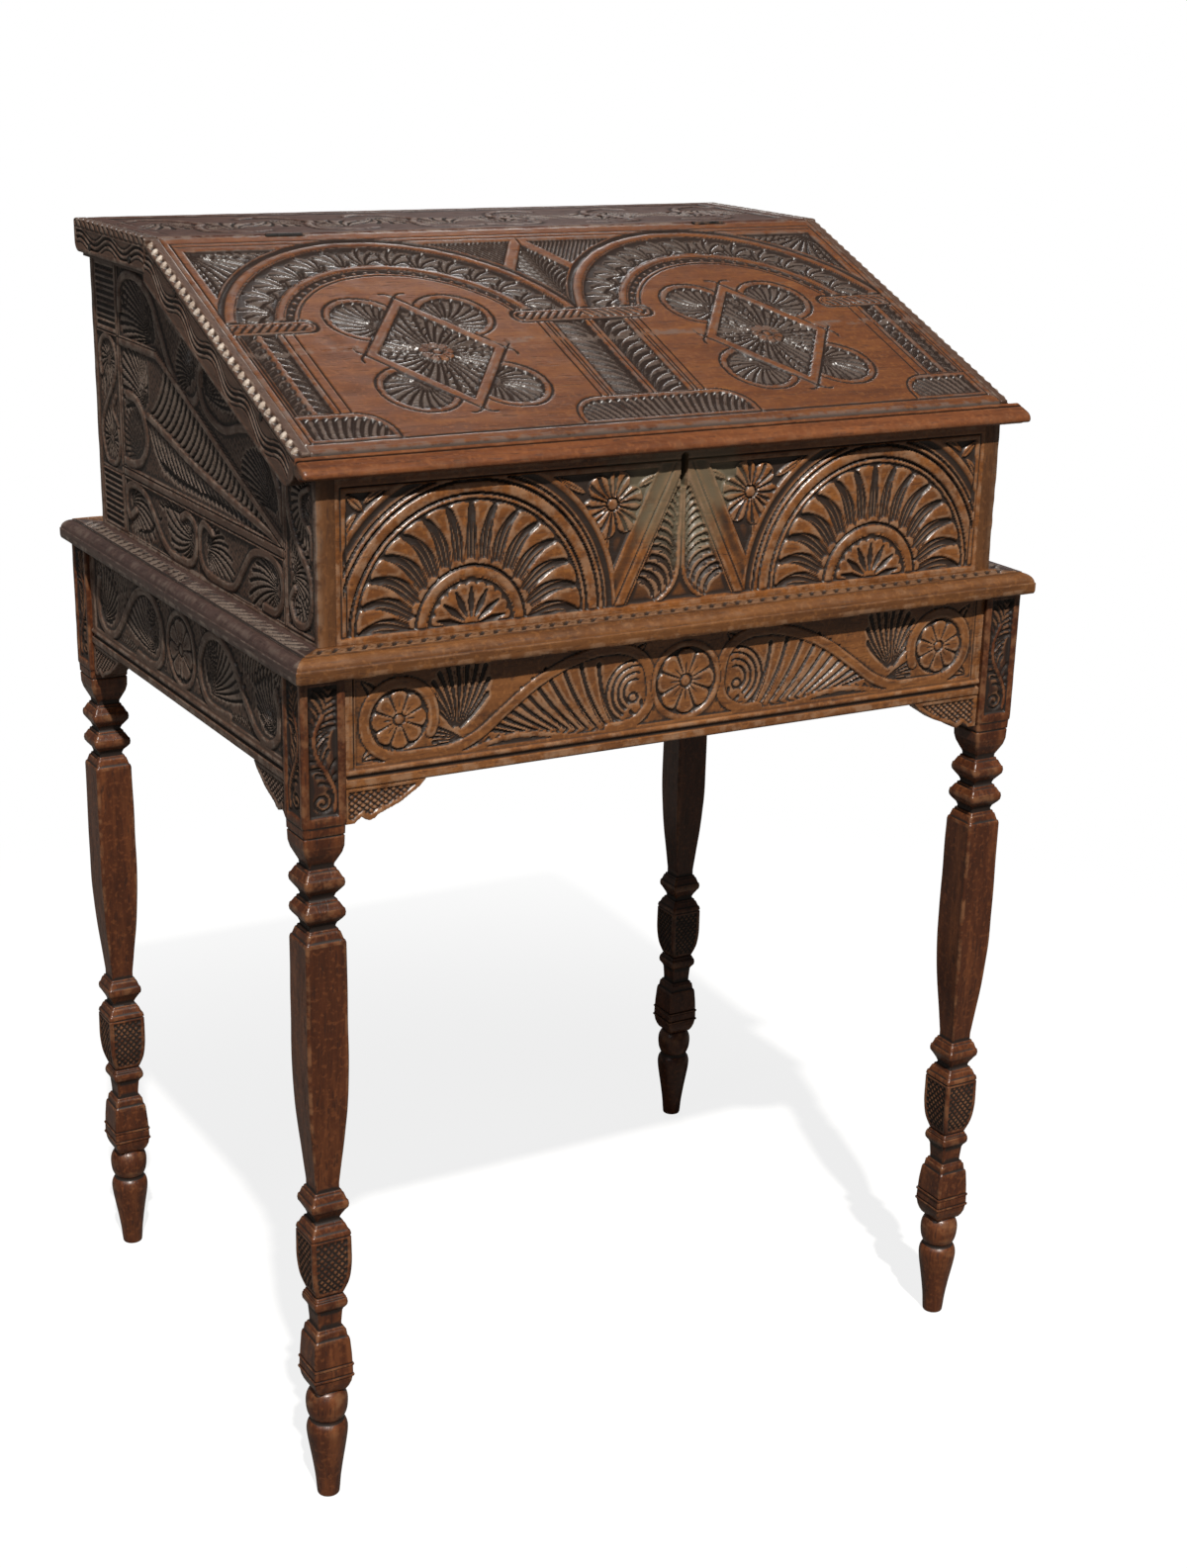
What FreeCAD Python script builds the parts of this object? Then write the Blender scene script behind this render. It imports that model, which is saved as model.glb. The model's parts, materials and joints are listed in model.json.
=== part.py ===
import FreeCAD, Part
import math
import os

# Carved oak bible box on a low stand. Millimetres, +Z up, X to the right seen from the front.
# The origin is on the floor under the middle of the stand, and the front faces -Y.

V = FreeCAD.Vector

# Stand top
stand_top_width = 700.0
stand_top_depth = 552.0
stand_height = 746.0
stand_top_thickness = 18.7
top_edge_height = 10.1
top_moulding_width = 15.0
top_groove_width = 1.6
top_groove_depth = 1.2
top_groove_inset = 17.0

# Legs
post_width = 37.0
post_inset_x = 7.0
post_inset_y = 10.0
post_block_length = 116.3
post_panel_margin = 5.5
post_panel_depth = 1.2
foot_turning_height = 105.0

# Shape of a leg below its carved post block, from the top down. Each row gives the height as a
# share of the square part's length, then the half width as a share of half the post's width, and
# for a round stretch the same two shares of a point in the middle of its arc.
square_leg_shares = (
    ("line", 1.000, 0.965),
    ("line", 0.9665, 0.945),
    ("arc", 0.934, 0.560, 0.952, 0.830),
    ("line", 0.9285, 0.560),
    ("arc", 0.883, 0.615, 0.9085, 0.925),
    ("line", 0.8775, 0.615),
    ("arc", 0.834, 0.615, 0.857, 0.940),
    ("line", 0.829, 0.615),
    ("line", 0.807, 0.940),
    ("line", 0.583, 0.957),
    ("arc", 0.384, 0.560, 0.480, 0.815),
    ("line", 0.374, 0.560),
    ("arc", 0.325, 0.595, 0.346, 0.890),
    ("line", 0.318, 0.595),
    ("line", 0.299, 0.960),
    ("line", 0.238, 0.960),
    ("arc", 0.183, 0.660, 0.208, 0.860),
    ("arc", 0.153, 0.560, 0.168, 0.780),
    ("line", 0.121, 0.560),
    ("line", 0.0985, 0.845),
    ("line", 0.040, 0.972),
    ("arc", 0.000, 0.680, 0.018, 0.900),
)
# The round foot: ball, neck and vase, as shares of the turning's height and half the post's width.
round_foot_shares = (
    ("line", 1.000, 0.680),
    ("arc", 0.735, 0.810, 0.868, 0.972),
    ("line", 0.700, 0.810),
    ("arc", 0.540, 0.930, 0.620, 0.965),
    ("arc", 0.160, 0.595, 0.345, 0.745),
    ("line", 0.060, 0.545),
    ("line", 0.000, 0.520),
)

# Aprons and their tenons, pegs, brackets and glue blocks
apron_height = 90.8
apron_thickness = 20.0
apron_setback = 3.0
apron_bead_height = 5.5
apron_bead_rise = 9.5
apron_quirk_height = 3.0
apron_quirk_depth = 2.5
tenon_length = 18.0
tenon_thickness = 8.0
tenon_height = 60.0
tenon_drop = 14.0
peg_radius = 3.5
peg_overrun = 3.0
peg_height_shares = (0.30, 0.70)
bracket_length = 70.0
bracket_height = 28.7
bracket_thickness = 15.0
bracket_setback = 1.0
# Lower edge of a bracket from the post outward: share of its length, share of its height
bracket_lip_shares = ((0.0, 1.0), (0.115, 1.0))
bracket_notch_shares = (0.205, 0.825)
bracket_cusp_shares = ((0.300, 0.965), (0.395, 0.845))
bracket_tail_shares = ((0.670, 0.590), (0.900, 0.230))
bracket_nose_shares = (0.950, 0.120)
glue_block_size = 16.0
glue_block_length = 60.0
glue_block_place_share = 0.24

# Box
box_height = 270.0
box_side_margin = 30.0
box_front_margin = 29.0
box_back_margin = 33.0
board_thickness = 16.0
tongue_length = 5.0
tongue_thickness = 8.0
bottom_thickness = 12.0
bottom_rise = 4.0
ledge_depth = 180.0
slope_drop_share = 7 / 15
slope_overhang = 2.0
lid_thickness = 15.0
lid_rest_gap = 0.3
end_overhang = 12.5
end_clearance = 0.5
cap_depth = 28.0
cap_corner_radius = 9.0
fillet_height = 3.5
fillet_depth = 8.0
fillet_front_gap = 4.0
edge_round = 2.0

# Lid
cleat_depth = 36.0
cleat_front_radius = 20.0
bead_count = 30
bead_radius = 3.6
bead_inset = 0.3
bead_seat = 4.4
bead_margin = 9.0
nosing_back = 5.5
nosing_projection = 17.0
nosing_step = 2.6
nosing_nose_share = 0.55
nosing_left_overrun = 2.0
nosing_right_overrun = 8.5
band_width = 11.5
band_round = 2.4
panel_quirk_width = 1.2
panel_quirk_depth = 1.0

# Main carving: sunk grounds between bands that stand at the face. The lid's is laid out in shares
# of its half width, from the middle, and of its slope, from its front up.
carving_depth = 2.2
arch_middle_shares = (0.493, 0.471)
arch_clear_share = 0.520
arch_outer_share = 0.477
arch_inner_share = 0.374
arch_spring_share = 0.592
corner_field_shares = ((0.493, 0.592), (0.961, 0.929))
diamond_shares = ((0.0, 0.585), (0.091, 0.772), (0.0, 0.913))
hatched_shares = ((0.115, 0.785), (0.343, 0.932), (0.021, 0.932))
column_shares = ((0.010, 0.109), (0.871, 0.919), (0.928, 0.969))
column_height_shares = (0.169, 0.525)
middle_base_share = 0.246
side_base_shares = (0.762, 0.983)
base_height_shares = (0.065, 0.157)
base_round_share = 0.775
lozenge_middle_shares = (0.493, 0.410)
lozenge_inner_shares = (0.164, 0.218)
lozenge_outer_shares = (0.197, 0.259)
lobe_place_shares = (0.125, 0.160)
lobe_share = 0.090

# The side boards' carving, in shares of their depth, from the back, and of their height under the ledge
side_band_width = 7.4
rear_band_width = 5.4
side_box_shares = (((0.019, 0.012), (0.123, 0.208)), ((0.019, 0.220), (0.123, 0.686)),
                   ((0.019, 0.698), (0.123, 0.925)), ((0.138, 0.012), (0.869, 0.210)))
long_leaf_shares = ((0.138, 0.251), (0.869, 0.251), (0.869, 0.263), (0.341, 0.663), (0.138, 0.663))
upper_leaf_shares = ((0.138, 0.690), (0.335, 0.690), (0.869, 0.282), (0.869, 0.573), (0.392, 0.925),
                     (0.138, 0.925))
front_strip_shares = ((0.883, 0.020), (0.985, 0.020), (0.985, 0.482), (0.883, 0.562))
rear_band_shares = ((0.033, 0.541), (0.027, 0.620), (0.053, 0.671), (0.096, 0.667), (0.116, 0.604),
                    (0.098, 0.525), (0.061, 0.455), (0.031, 0.384), (0.027, 0.306), (0.049, 0.243),
                    (0.094, 0.243), (0.116, 0.306), (0.110, 0.376))
side_band_shares = (
    ((0.188, 0.110), (0.155, 0.078), (0.141, 0.125), (0.153, 0.180), (0.194, 0.198), (0.239, 0.184),
     (0.278, 0.137), (0.314, 0.075), (0.355, 0.033), (0.414, 0.025), (0.465, 0.039), (0.490, 0.098),
     (0.486, 0.165), (0.453, 0.192), (0.420, 0.173)),
    ((0.563, 0.173), (0.527, 0.192), (0.499, 0.149), (0.499, 0.078), (0.535, 0.033), (0.596, 0.025),
     (0.657, 0.039), (0.700, 0.114), (0.743, 0.180), (0.808, 0.198), (0.855, 0.169), (0.861, 0.086),
     (0.833, 0.033), (0.784, 0.029)),
    ((0.271, 0.459), (0.371, 0.416), (0.510, 0.357), (0.694, 0.302), (0.880, 0.254)),
    ((0.167, 0.502), (0.212, 0.494), (0.253, 0.439), (0.261, 0.361), (0.229, 0.290), (0.171, 0.267),
     (0.130, 0.267)),
    ((0.143, 0.784), (0.149, 0.863), (0.188, 0.906), (0.253, 0.898), (0.306, 0.847), (0.347, 0.757),
     (0.388, 0.659), (0.437, 0.588), (0.498, 0.573), (0.531, 0.635), (0.531, 0.729), (0.494, 0.788),
     (0.449, 0.776)),
    ((0.547, 0.729), (0.527, 0.659), (0.539, 0.584), (0.580, 0.541), (0.637, 0.525), (0.702, 0.553),
     (0.763, 0.557), (0.820, 0.498), (0.857, 0.408), (0.865, 0.329)),
    ((0.890, 0.486), (0.886, 0.416), (0.902, 0.329), (0.935, 0.259), (0.967, 0.204), (0.978, 0.118),
     (0.955, 0.047), (0.914, 0.039), (0.894, 0.094), (0.910, 0.141)))

# Hinges, let into the mitred joint between the ledge and the lid
hinge_place_share = 21 / 32
hinge_width = 32.0
hinge_knuckle_radius = 2.4
hinge_axis_drop = 2.0
hinge_leaf_thickness = 1.2
hinge_leaf_depth = 11.0
hinge_pin_radius = 1.0
pin_clearance = 0.05
pin_head_radius = 1.8
pin_head_height = 0.6
knuckle_gap = 0.3
notch_clearance = 0.4
joint_gap = 0.6
lid_arris = 2.6

# Lock
keyhole_width = 6.5
keyhole_height = 28.0
keyhole_top_margin = 4.0
lock_width = 72.0
lock_height = 35.0
lock_reach = 25.0
lock_top_drop = 8.0
lock_wall = 1.6
lock_flange = 11.0
lock_slot_width = 5.0
bolt_depth = 4.0
bolt_height = 6.0
bolt_length = 30.0
bolt_rest_tip = 8.0
bolt_throw = 12.0
bolt_clearance = 0.3
bolt_talon_radius = 2.4
bolt_talon_share = 0.6
guide_length = 4.0
guide_wall = 2.6
guide_share_pair = (0.18, 0.82)
staple_place = 12.0
staple_thickness = 3.0
staple_rim = 2.0
staple_eye_width = 7.4
staple_eye_length = 8.8
staple_eye_depth = 19.0
staple_plate_width = 34.0
staple_plate_depth = 14.0
staple_plate_thickness = 1.6
staple_setback = 22.0

# Nails
nail_head_radius = 3.0
nail_head_height = 1.2
nail_shank_radius = 1.3
nail_length = 26.0
small_head_radius = 1.9
small_head_height = 0.8
small_shank_radius = 0.8
small_nail_length = 9.0
nail_pair_shares = (0.22, 0.78)
ledge_nail_shares = (0.36, 0.64)

overrun = 5.0

# Places that follow from the sizes above
post_half = post_width / 2
leg_height = stand_height - stand_top_thickness
leg_x = stand_top_width / 2 - post_inset_x - post_half
leg_y = stand_top_depth / 2 - post_inset_y - post_half
square_leg_length = leg_height - post_block_length - foot_turning_height
apron_bottom = leg_height - apron_height
box_front = -stand_top_depth / 2 + box_front_margin
box_back = stand_top_depth / 2 - box_back_margin
box_side = stand_top_width / 2 - box_side_margin
overall_height = stand_height + box_height
inner_side = box_side - board_thickness
lid_side = box_side + end_clearance
outer_side = box_side + end_overhang
break_y = box_back - ledge_depth
slope_drop = slope_drop_share * box_height
slope_run = break_y - box_front + slope_overhang
slope_angle = math.atan2(slope_drop, slope_run)
slope_length = math.hypot(slope_drop, slope_run)
ledge_under = overall_height - lid_thickness
bottom_floor = stand_height + bottom_rise
bead_sink = apron_bead_height / 4
rest_drop = lid_rest_gap / math.cos(slope_angle)
past_side = outer_side + overrun
hinge_place = hinge_place_share * box_side
nosing_ends = (-outer_side - nosing_left_overrun, outer_side + nosing_right_overrun)


def slope_point(down, up):
    """Point (y, z) at a distance down the slope from the break, and above its surface."""
    y = break_y - down * math.cos(slope_angle) - up * math.sin(slope_angle)
    z = overall_height - down * math.sin(slope_angle) + up * math.cos(slope_angle)
    return y, z


def joint_point(drop, back):
    """Point (y, z) down the mitred joint from the break, and backward from the joint's plane."""
    half = slope_angle / 2
    y = break_y + drop * math.sin(half) + back * math.cos(half)
    z = overall_height - drop * math.cos(half) + back * math.sin(half)
    return y, z


def slope_under_z(y):
    """Height of the lid's lower surface at a place y, in front of the break."""
    return overall_height - lid_thickness / math.cos(slope_angle) - (break_y - y) * math.tan(slope_angle)


def block(low, high):
    """Box between two opposite corners."""
    size = [b - a for a, b in zip(low, high)]
    return Part.makeBox(size[0], size[1], size[2], V(*low))


def prism_x(points, x_low, x_high):
    """Outline of (y, z) points, extruded from x_low to x_high."""
    corners = [V(x_low, y, z) for y, z in points]
    face = Part.Face(Part.makePolygon(corners + corners[:1]))
    return face.extrude(V(x_high - x_low, 0, 0))


def cylinder_x(radius, x_low, x_high, centre):
    """Round bar along X with its axis through (y, z)."""
    return Part.makeCylinder(radius, x_high - x_low, V(x_low, centre[0], centre[1]), V(1, 0, 0))


def cut_all(shape, cutters):
    for cutter in cutters:
        shape = shape.cut(cutter)
    return shape


def fuse_all(shapes):
    result = shapes[0]
    for shape in shapes[1:]:
        result = result.fuse(shape)
    return result.removeSplitter()


def nail(place, direction, head_radius=nail_head_radius, head_height=nail_head_height,
         shank_radius=nail_shank_radius, length=nail_length):
    """Nail whose head's outer face is at a place, driven along a direction."""
    start = V(*place)
    way = V(*direction)
    way.normalize()
    head = Part.makeCylinder(head_radius, head_height, start, way)
    shank = Part.makeCylinder(shank_radius, length - head_height, start + way * head_height, way)
    return head.fuse(shank)


def small_nail(place, direction):
    return nail(place, direction, small_head_radius, small_head_height, small_shank_radius,
                small_nail_length)


parts = {}


def keep(name, shape):
    parts[name] = shape


def profile_edges(shares, base, height, half):
    """Lines and arcs of a turned outline in the XZ plane, from the top down."""
    edges = []
    last = None
    for row in shares:
        point = V(row[2] * half, 0, base + row[1] * height)
        if last is not None:
            if row[0] == "arc":
                middle = V(row[4] * half, 0, base + row[3] * height)
                edges.append(Part.Arc(last, middle, point).toShape())
            else:
                edges.append(Part.LineSegment(last, point).toShape())
        last = point
    return edges


def mirrored_face(edges):
    """Closed face of an outline and its mirror image across the Z axis."""
    right = Part.Wire(edges)
    left = right.mirror(V(0, 0, 0), V(1, 0, 0))
    top = right.Vertexes[0].Point
    low = right.Vertexes[-1].Point
    caps = [Part.LineSegment(top, V(-top.x, 0, top.z)).toShape(),
            Part.LineSegment(low, V(-low.x, 0, low.z)).toShape()]
    return Part.Face(Part.Wire(Part.__sortEdges__(right.Edges + left.Edges + caps)))


def leg(side_x, side_y):
    """One leg: carved post block, square shaped shaft and round turned foot."""
    edges = profile_edges(square_leg_shares, foot_turning_height, square_leg_length, post_half)
    face = mirrored_face(edges)
    face.translate(V(0, -post_width, 0))
    across = face.extrude(V(0, 2 * post_width, 0))
    along = across.copy()
    along.rotate(V(0, 0, 0), V(0, 0, 1), 90)
    shaft = across.common(along)

    foot_edges = profile_edges(round_foot_shares, 0, foot_turning_height, post_half)
    top = foot_edges[0].Vertexes[0].Point
    low = foot_edges[-1].Vertexes[-1].Point
    closing = [Part.LineSegment(V(0, 0, top.z), top).toShape(),
               Part.LineSegment(low, V(0, 0, low.z)).toShape(),
               Part.LineSegment(V(0, 0, low.z), V(0, 0, top.z)).toShape()]
    outline = Part.Wire(Part.__sortEdges__(foot_edges + closing))
    foot = Part.Face(outline).revolve(V(0, 0, 0), V(0, 0, 1), 360)

    post = block((-post_half, -post_half, leg_height - post_block_length),
                 (post_half, post_half, leg_height))
    solid = fuse_all([post, shaft, foot])
    solid = cut_all(solid, post_panels(side_x, side_y))
    solid.translate(V(side_x * leg_x, side_y * leg_y, 0))
    return solid


def post_panels(side_x, side_y):
    """Shallow sunk fields of the carving on the two outer faces of a post block."""
    low = leg_height - post_block_length + post_panel_margin
    high = leg_height + overrun
    reach = post_half - post_panel_margin
    face = post_half - post_panel_depth
    outward = post_half + overrun
    x_ends = sorted((side_x * face, side_x * outward))
    y_ends = sorted((side_y * face, side_y * outward))
    return [block((x_ends[0], -reach, low), (x_ends[1], reach, high)),
            block((-reach, y_ends[0], low), (reach, y_ends[1], high))]


def front_apron_shape():
    """Apron along X at the front of the stand, with a bead above its plain lower band."""
    face_y = -stand_top_depth / 2 + post_inset_y + apron_setback
    return apron_shape(leg_x - post_half, face_y)


def side_apron_shape():
    """Apron for the sides, drawn along X like the front one and turned later."""
    face_y = -stand_top_width / 2 + post_inset_x + apron_setback
    return apron_shape(leg_y - post_half, face_y)


def apron_shape(half_length, face_y):
    bead_low = apron_bottom + apron_bead_rise
    quirk_low = bead_low - apron_quirk_height
    back_y = face_y + apron_thickness
    body = block((-half_length, face_y, apron_bottom), (half_length, back_y, leg_height))
    quirk = block((-half_length, face_y, quirk_low),
                  (half_length, face_y + apron_quirk_depth, bead_low))
    sunk = block((-half_length, face_y, bead_low),
                 (half_length, face_y + bead_sink, leg_height))
    bead_radius_here = apron_bead_height / 2
    bead_axis = (face_y + bead_radius_here, bead_low + bead_radius_here)
    bead = cylinder_x(bead_radius_here, -half_length, half_length, bead_axis)
    body = body.cut(quirk).cut(sunk).fuse(bead)
    middle = face_y + apron_thickness / 2
    high = leg_height - tenon_drop
    reach = half_length + tenon_length
    tenon = block((-reach, middle - tenon_thickness / 2, high - tenon_height),
                  (reach, middle + tenon_thickness / 2, high))
    return body.fuse(tenon).removeSplitter()


def turned(shape, quarter_turns):
    copy = shape.copy()
    copy.rotate(V(0, 0, 0), V(0, 0, 1), 90 * quarter_turns)
    return copy


def aprons():
    """Front and back aprons, then the left and right ones."""
    front = front_apron_shape()
    side = side_apron_shape()
    return {"front_apron": front, "right_apron": turned(side, 1),
            "back_apron": turned(front, 2), "left_apron": turned(side, 3)}


def pegs():
    """Drawbore pegs through the tenons, from the inner faces of the posts."""
    shapes = []
    tenon_top = leg_height - tenon_drop
    low_z = tenon_top - tenon_height * peg_height_shares[1]
    high_z = tenon_top - tenon_height * peg_height_shares[0]
    inner_x = leg_x - post_half
    inner_y = leg_y - post_half
    tenon_far = (tenon_thickness - apron_thickness) / 2 - apron_setback + peg_overrun
    far_y = stand_top_depth / 2 - post_inset_y + tenon_far
    far_x = stand_top_width / 2 - post_inset_x + tenon_far
    for side_x in (-1, 1):
        for side_y in (-1, 1):
            start = V(side_x * (inner_x + tenon_length / 2), side_y * inner_y, high_z)
            shapes.append(Part.makeCylinder(peg_radius, far_y - inner_y, start,
                                            V(0, side_y, 0)))
            start = V(side_x * inner_x, side_y * (inner_y + tenon_length / 2), low_z)
            shapes.append(Part.makeCylinder(peg_radius, far_x - inner_x, start,
                                            V(side_x, 0, 0)))
    return shapes


def bracket_shape():
    """Small cusped bracket: its post end at x = 0, its upper edge at z = 0, its face at y = 0."""
    def at(shares):
        return V(shares[0] * bracket_length, 0, -shares[1] * bracket_height)

    corner = V(0, 0, 0)
    lip_start, lip_end = (at(shares) for shares in bracket_lip_shares)
    notch = at(bracket_notch_shares)
    cusp_low, cusp_end = (at(shares) for shares in bracket_cusp_shares)
    tail_start, tail_end = (at(shares) for shares in bracket_tail_shares)
    nose = at(bracket_nose_shares)
    tip = V(bracket_length, 0, 0)
    edges = [Part.LineSegment(corner, lip_start).toShape(),
             Part.LineSegment(lip_start, lip_end).toShape(),
             Part.LineSegment(lip_end, notch).toShape(),
             Part.Arc(notch, cusp_low, cusp_end).toShape(),
             Part.LineSegment(cusp_end, tail_start).toShape(),
             Part.LineSegment(tail_start, tail_end).toShape(),
             Part.Arc(tail_end, nose, tip).toShape(),
             Part.LineSegment(tip, corner).toShape()]
    return Part.Face(Part.Wire(edges)).extrude(V(0, bracket_thickness, 0))


def bracket_places():
    """Name, quarter turns and whether mirrored, for each of the eight brackets."""
    for turn, side in enumerate(("front", "right", "back", "left")):
        for mirrored in (False, True):
            ends = {"front": ("left", "right"), "right": ("front", "back"),
                    "back": ("right", "left"), "left": ("back", "front")}[side]
            yield "bracket_%s_%s" % (side, ends[mirrored]), turn, mirrored


def bracket_start(turn):
    """Post end and face place of the brackets on one side of the stand, before turning."""
    if turn % 2 == 0:
        return leg_x - post_half, -stand_top_depth / 2 + post_inset_y + apron_setback
    return leg_y - post_half, -stand_top_width / 2 + post_inset_x + apron_setback


def brackets_and_nails():
    """Eight brackets, each with one nail up into its apron."""
    shapes = {}
    nails = []
    for name, turn, mirrored in bracket_places():
        reach, face_y = bracket_start(turn)
        shape = bracket_shape()
        shape.translate(V(-reach, face_y + bracket_setback, apron_bottom))
        nail_x = -reach + bracket_cusp_shares[0][0] * bracket_length
        nail_y = face_y + bracket_setback + bracket_thickness / 2
        nail_z = apron_bottom - bracket_cusp_shares[0][1] * bracket_height + nail_head_height
        one_nail = nail((nail_x, nail_y, nail_z), (0, 0, 1), length=bracket_height + nail_head_height)
        if mirrored:
            shape = shape.mirror(V(0, 0, 0), V(1, 0, 0))
            one_nail = one_nail.mirror(V(0, 0, 0), V(1, 0, 0))
        shape = turned(shape, turn)
        one_nail = turned(one_nail, turn)
        shapes[name] = shape.cut(one_nail)
        nails.append(one_nail)
    return shapes, nails


def glue_blocks():
    """Triangular blocks in the corner between the aprons and the underside of the top."""
    section = [V(0, 0, 0), V(0, glue_block_size, 0), V(0, 0, -glue_block_size)]
    face = Part.Face(Part.makePolygon(section + section[:1]))
    shapes = []
    for turn in range(4):
        reach, face_y = bracket_start(turn)
        for side in (-1, 1):
            one = face.extrude(V(glue_block_length, 0, 0))
            middle = side * reach * 2 * glue_block_place_share
            one.translate(V(middle - glue_block_length / 2, face_y + apron_thickness, leg_height))
            shapes.append(turned(one, turn))
    return shapes


def top_outline(half_width):
    """Section of the stand top: square lower edge, then a rounded moulding up to the flat."""
    low = leg_height
    edge_top = low + top_edge_height
    flat_start = half_width - top_moulding_width
    rise = stand_height - edge_top
    middle = (half_width - top_moulding_width * (1 - math.sin(math.pi / 4)),
              edge_top + rise * math.sin(math.pi / 4))
    right = [Part.LineSegment(V(-half_width, 0, low), V(half_width, 0, low)).toShape(),
             Part.LineSegment(V(half_width, 0, low), V(half_width, 0, edge_top)).toShape(),
             Part.Arc(V(half_width, 0, edge_top), V(middle[0], 0, middle[1]),
                      V(flat_start, 0, stand_height)).toShape(),
             Part.LineSegment(V(flat_start, 0, stand_height), V(-flat_start, 0, stand_height)).toShape(),
             Part.Arc(V(-flat_start, 0, stand_height), V(-middle[0], 0, middle[1]),
                      V(-half_width, 0, edge_top)).toShape(),
             Part.LineSegment(V(-half_width, 0, edge_top), V(-half_width, 0, low)).toShape()]
    return Part.Face(Part.Wire(right))


def stand_top():
    """Moulded top in a front and a back board, with a groove cut round inside the moulding."""
    half_x = stand_top_width / 2
    half_y = stand_top_depth / 2
    across = top_outline(half_x)
    across.translate(V(0, -half_y - overrun, 0))
    across = across.extrude(V(0, 2 * (half_y + overrun), 0))
    along = top_outline(half_y)
    along.translate(V(0, -half_x - overrun, 0))
    along = along.extrude(V(0, 2 * (half_x + overrun), 0))
    along.rotate(V(0, 0, 0), V(0, 0, 1), 90)
    whole = across.common(along)
    groove_low = stand_height - top_groove_depth
    outer = (half_x - top_groove_inset, half_y - top_groove_inset)
    inner = (outer[0] - top_groove_width, outer[1] - top_groove_width)
    groove = block((-outer[0], -outer[1], groove_low), (outer[0], outer[1], stand_height))
    groove = groove.cut(block((-inner[0], -inner[1], groove_low), (inner[0], inner[1], stand_height)))
    whole = whole.cut(groove)
    front_half = block((-half_x, -half_y, leg_height), (half_x, 0, stand_height))
    back_half = block((-half_x, 0, leg_height), (half_x, half_y, stand_height))
    return whole.common(front_half), whole.common(back_half)


def side_board(side):
    """Side of the box: flat under the ledge, sloping under the lid, grooved for its neighbours."""
    y_break, z_break = joint_point(lid_thickness / math.cos(slope_angle / 2), 0)
    outline = [(box_front, stand_height), (box_back, stand_height), (box_back, ledge_under),
               (y_break, ledge_under), (y_break, z_break - rest_drop),
               (box_front, slope_under_z(box_front) - rest_drop)]
    ends = sorted((side * inner_side, side * box_side))
    board = prism_x(outline, ends[0], ends[1])
    return cut_all(board, [front_board(), back_board(), bottom_board(), side_carving(side)])


def front_board():
    """Front of the box with tongues at its ends and the keyhole cut through it."""
    back = box_front + board_thickness
    front_top = slope_under_z(box_front) - rest_drop
    outline = [(box_front, stand_height), (back, stand_height),
               (back, slope_under_z(back) - rest_drop), (box_front, front_top)]
    board = prism_x(outline, -inner_side, inner_side)
    tongue_y = (back - tongue_thickness, back)
    reach = inner_side + tongue_length
    tongue_top = slope_under_z(tongue_y[0]) - rest_drop
    tongue = block((-reach, tongue_y[0], stand_height + bottom_rise), (reach, tongue_y[1], tongue_top))
    board = board.fuse(tongue).removeSplitter()
    top_z = front_top - keyhole_top_margin
    low_z = top_z - keyhole_height
    radius = keyhole_width / 2
    slot = block((-radius, box_front, low_z + radius), (radius, back, top_z - radius))
    for z in (low_z + radius, top_z - radius):
        slot = slot.fuse(Part.makeCylinder(radius, board_thickness, V(0, box_front, z), V(0, 1, 0)))
    return board.cut(slot).cut(bottom_board())


def back_board():
    """Back of the box with tongues at its ends."""
    front = box_back - board_thickness
    board = block((-inner_side, front, stand_height), (inner_side, box_back, ledge_under))
    reach = inner_side + tongue_length
    tongue = block((-reach, front, stand_height + bottom_rise),
                   (reach, front + tongue_thickness, ledge_under))
    return board.fuse(tongue).cut(bottom_board()).removeSplitter()


def bottom_board():
    """Bottom board, let into grooves in the front, back and sides."""
    half_x = inner_side + tongue_length
    front = box_front + board_thickness - tongue_length
    back = box_back - board_thickness + tongue_length
    return block((-half_x, front, bottom_floor), (half_x, back, bottom_floor + bottom_thickness))


def plate(points):
    """Flat cutter of an outline in a carving's plane, as deep as the carving and a little proud."""
    corners = [V(x, y, -carving_depth) for x, y in points]
    face = Part.Face(Part.makePolygon(corners + corners[:1]))
    return face.extrude(V(0, 0, carving_depth + overrun))


def box_plate(low, high):
    return plate([low, (high[0], low[1]), high, (low[0], high[1])])


def disc(centre, radius):
    return Part.makeCylinder(radius, carving_depth + overrun, V(centre[0], centre[1], -carving_depth))


def lozenge(centre, half):
    return plate([(centre[0] - half[0], centre[1]), (centre[0], centre[1] - half[1]),
                  (centre[0] + half[0], centre[1]), (centre[0], centre[1] + half[1])])


def band_plate(knots, width):
    """Plate of even width along a smooth curve through a few points."""
    edges = []
    for side in (-1, 1):
        points = []
        for number, knot in enumerate(knots):
            before = knots[max(number - 1, 0)]
            after = knots[min(number + 1, len(knots) - 1)]
            way = V(after[0] - before[0], after[1] - before[1], 0).normalize()
            points.append(V(knot[0] - side * way.y * width / 2, knot[1] + side * way.x * width / 2,
                            -carving_depth))
        curve = Part.BSplineCurve()
        curve.interpolate(points)
        edges.append((points, curve.toShape()))
    (right, right_edge), (left, left_edge) = edges
    wire = Part.Wire(Part.__sortEdges__([right_edge, Part.LineSegment(right[-1], left[-1]).toShape(),
                                         left_edge, Part.LineSegment(left[0], right[0]).toShape()]))
    return Part.Face(wire).extrude(V(0, 0, carving_depth + overrun))


def at_shares(points, size):
    """Points given in shares of a width and a height."""
    return [(x * size[0], y * size[1]) for x, y in points]


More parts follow.
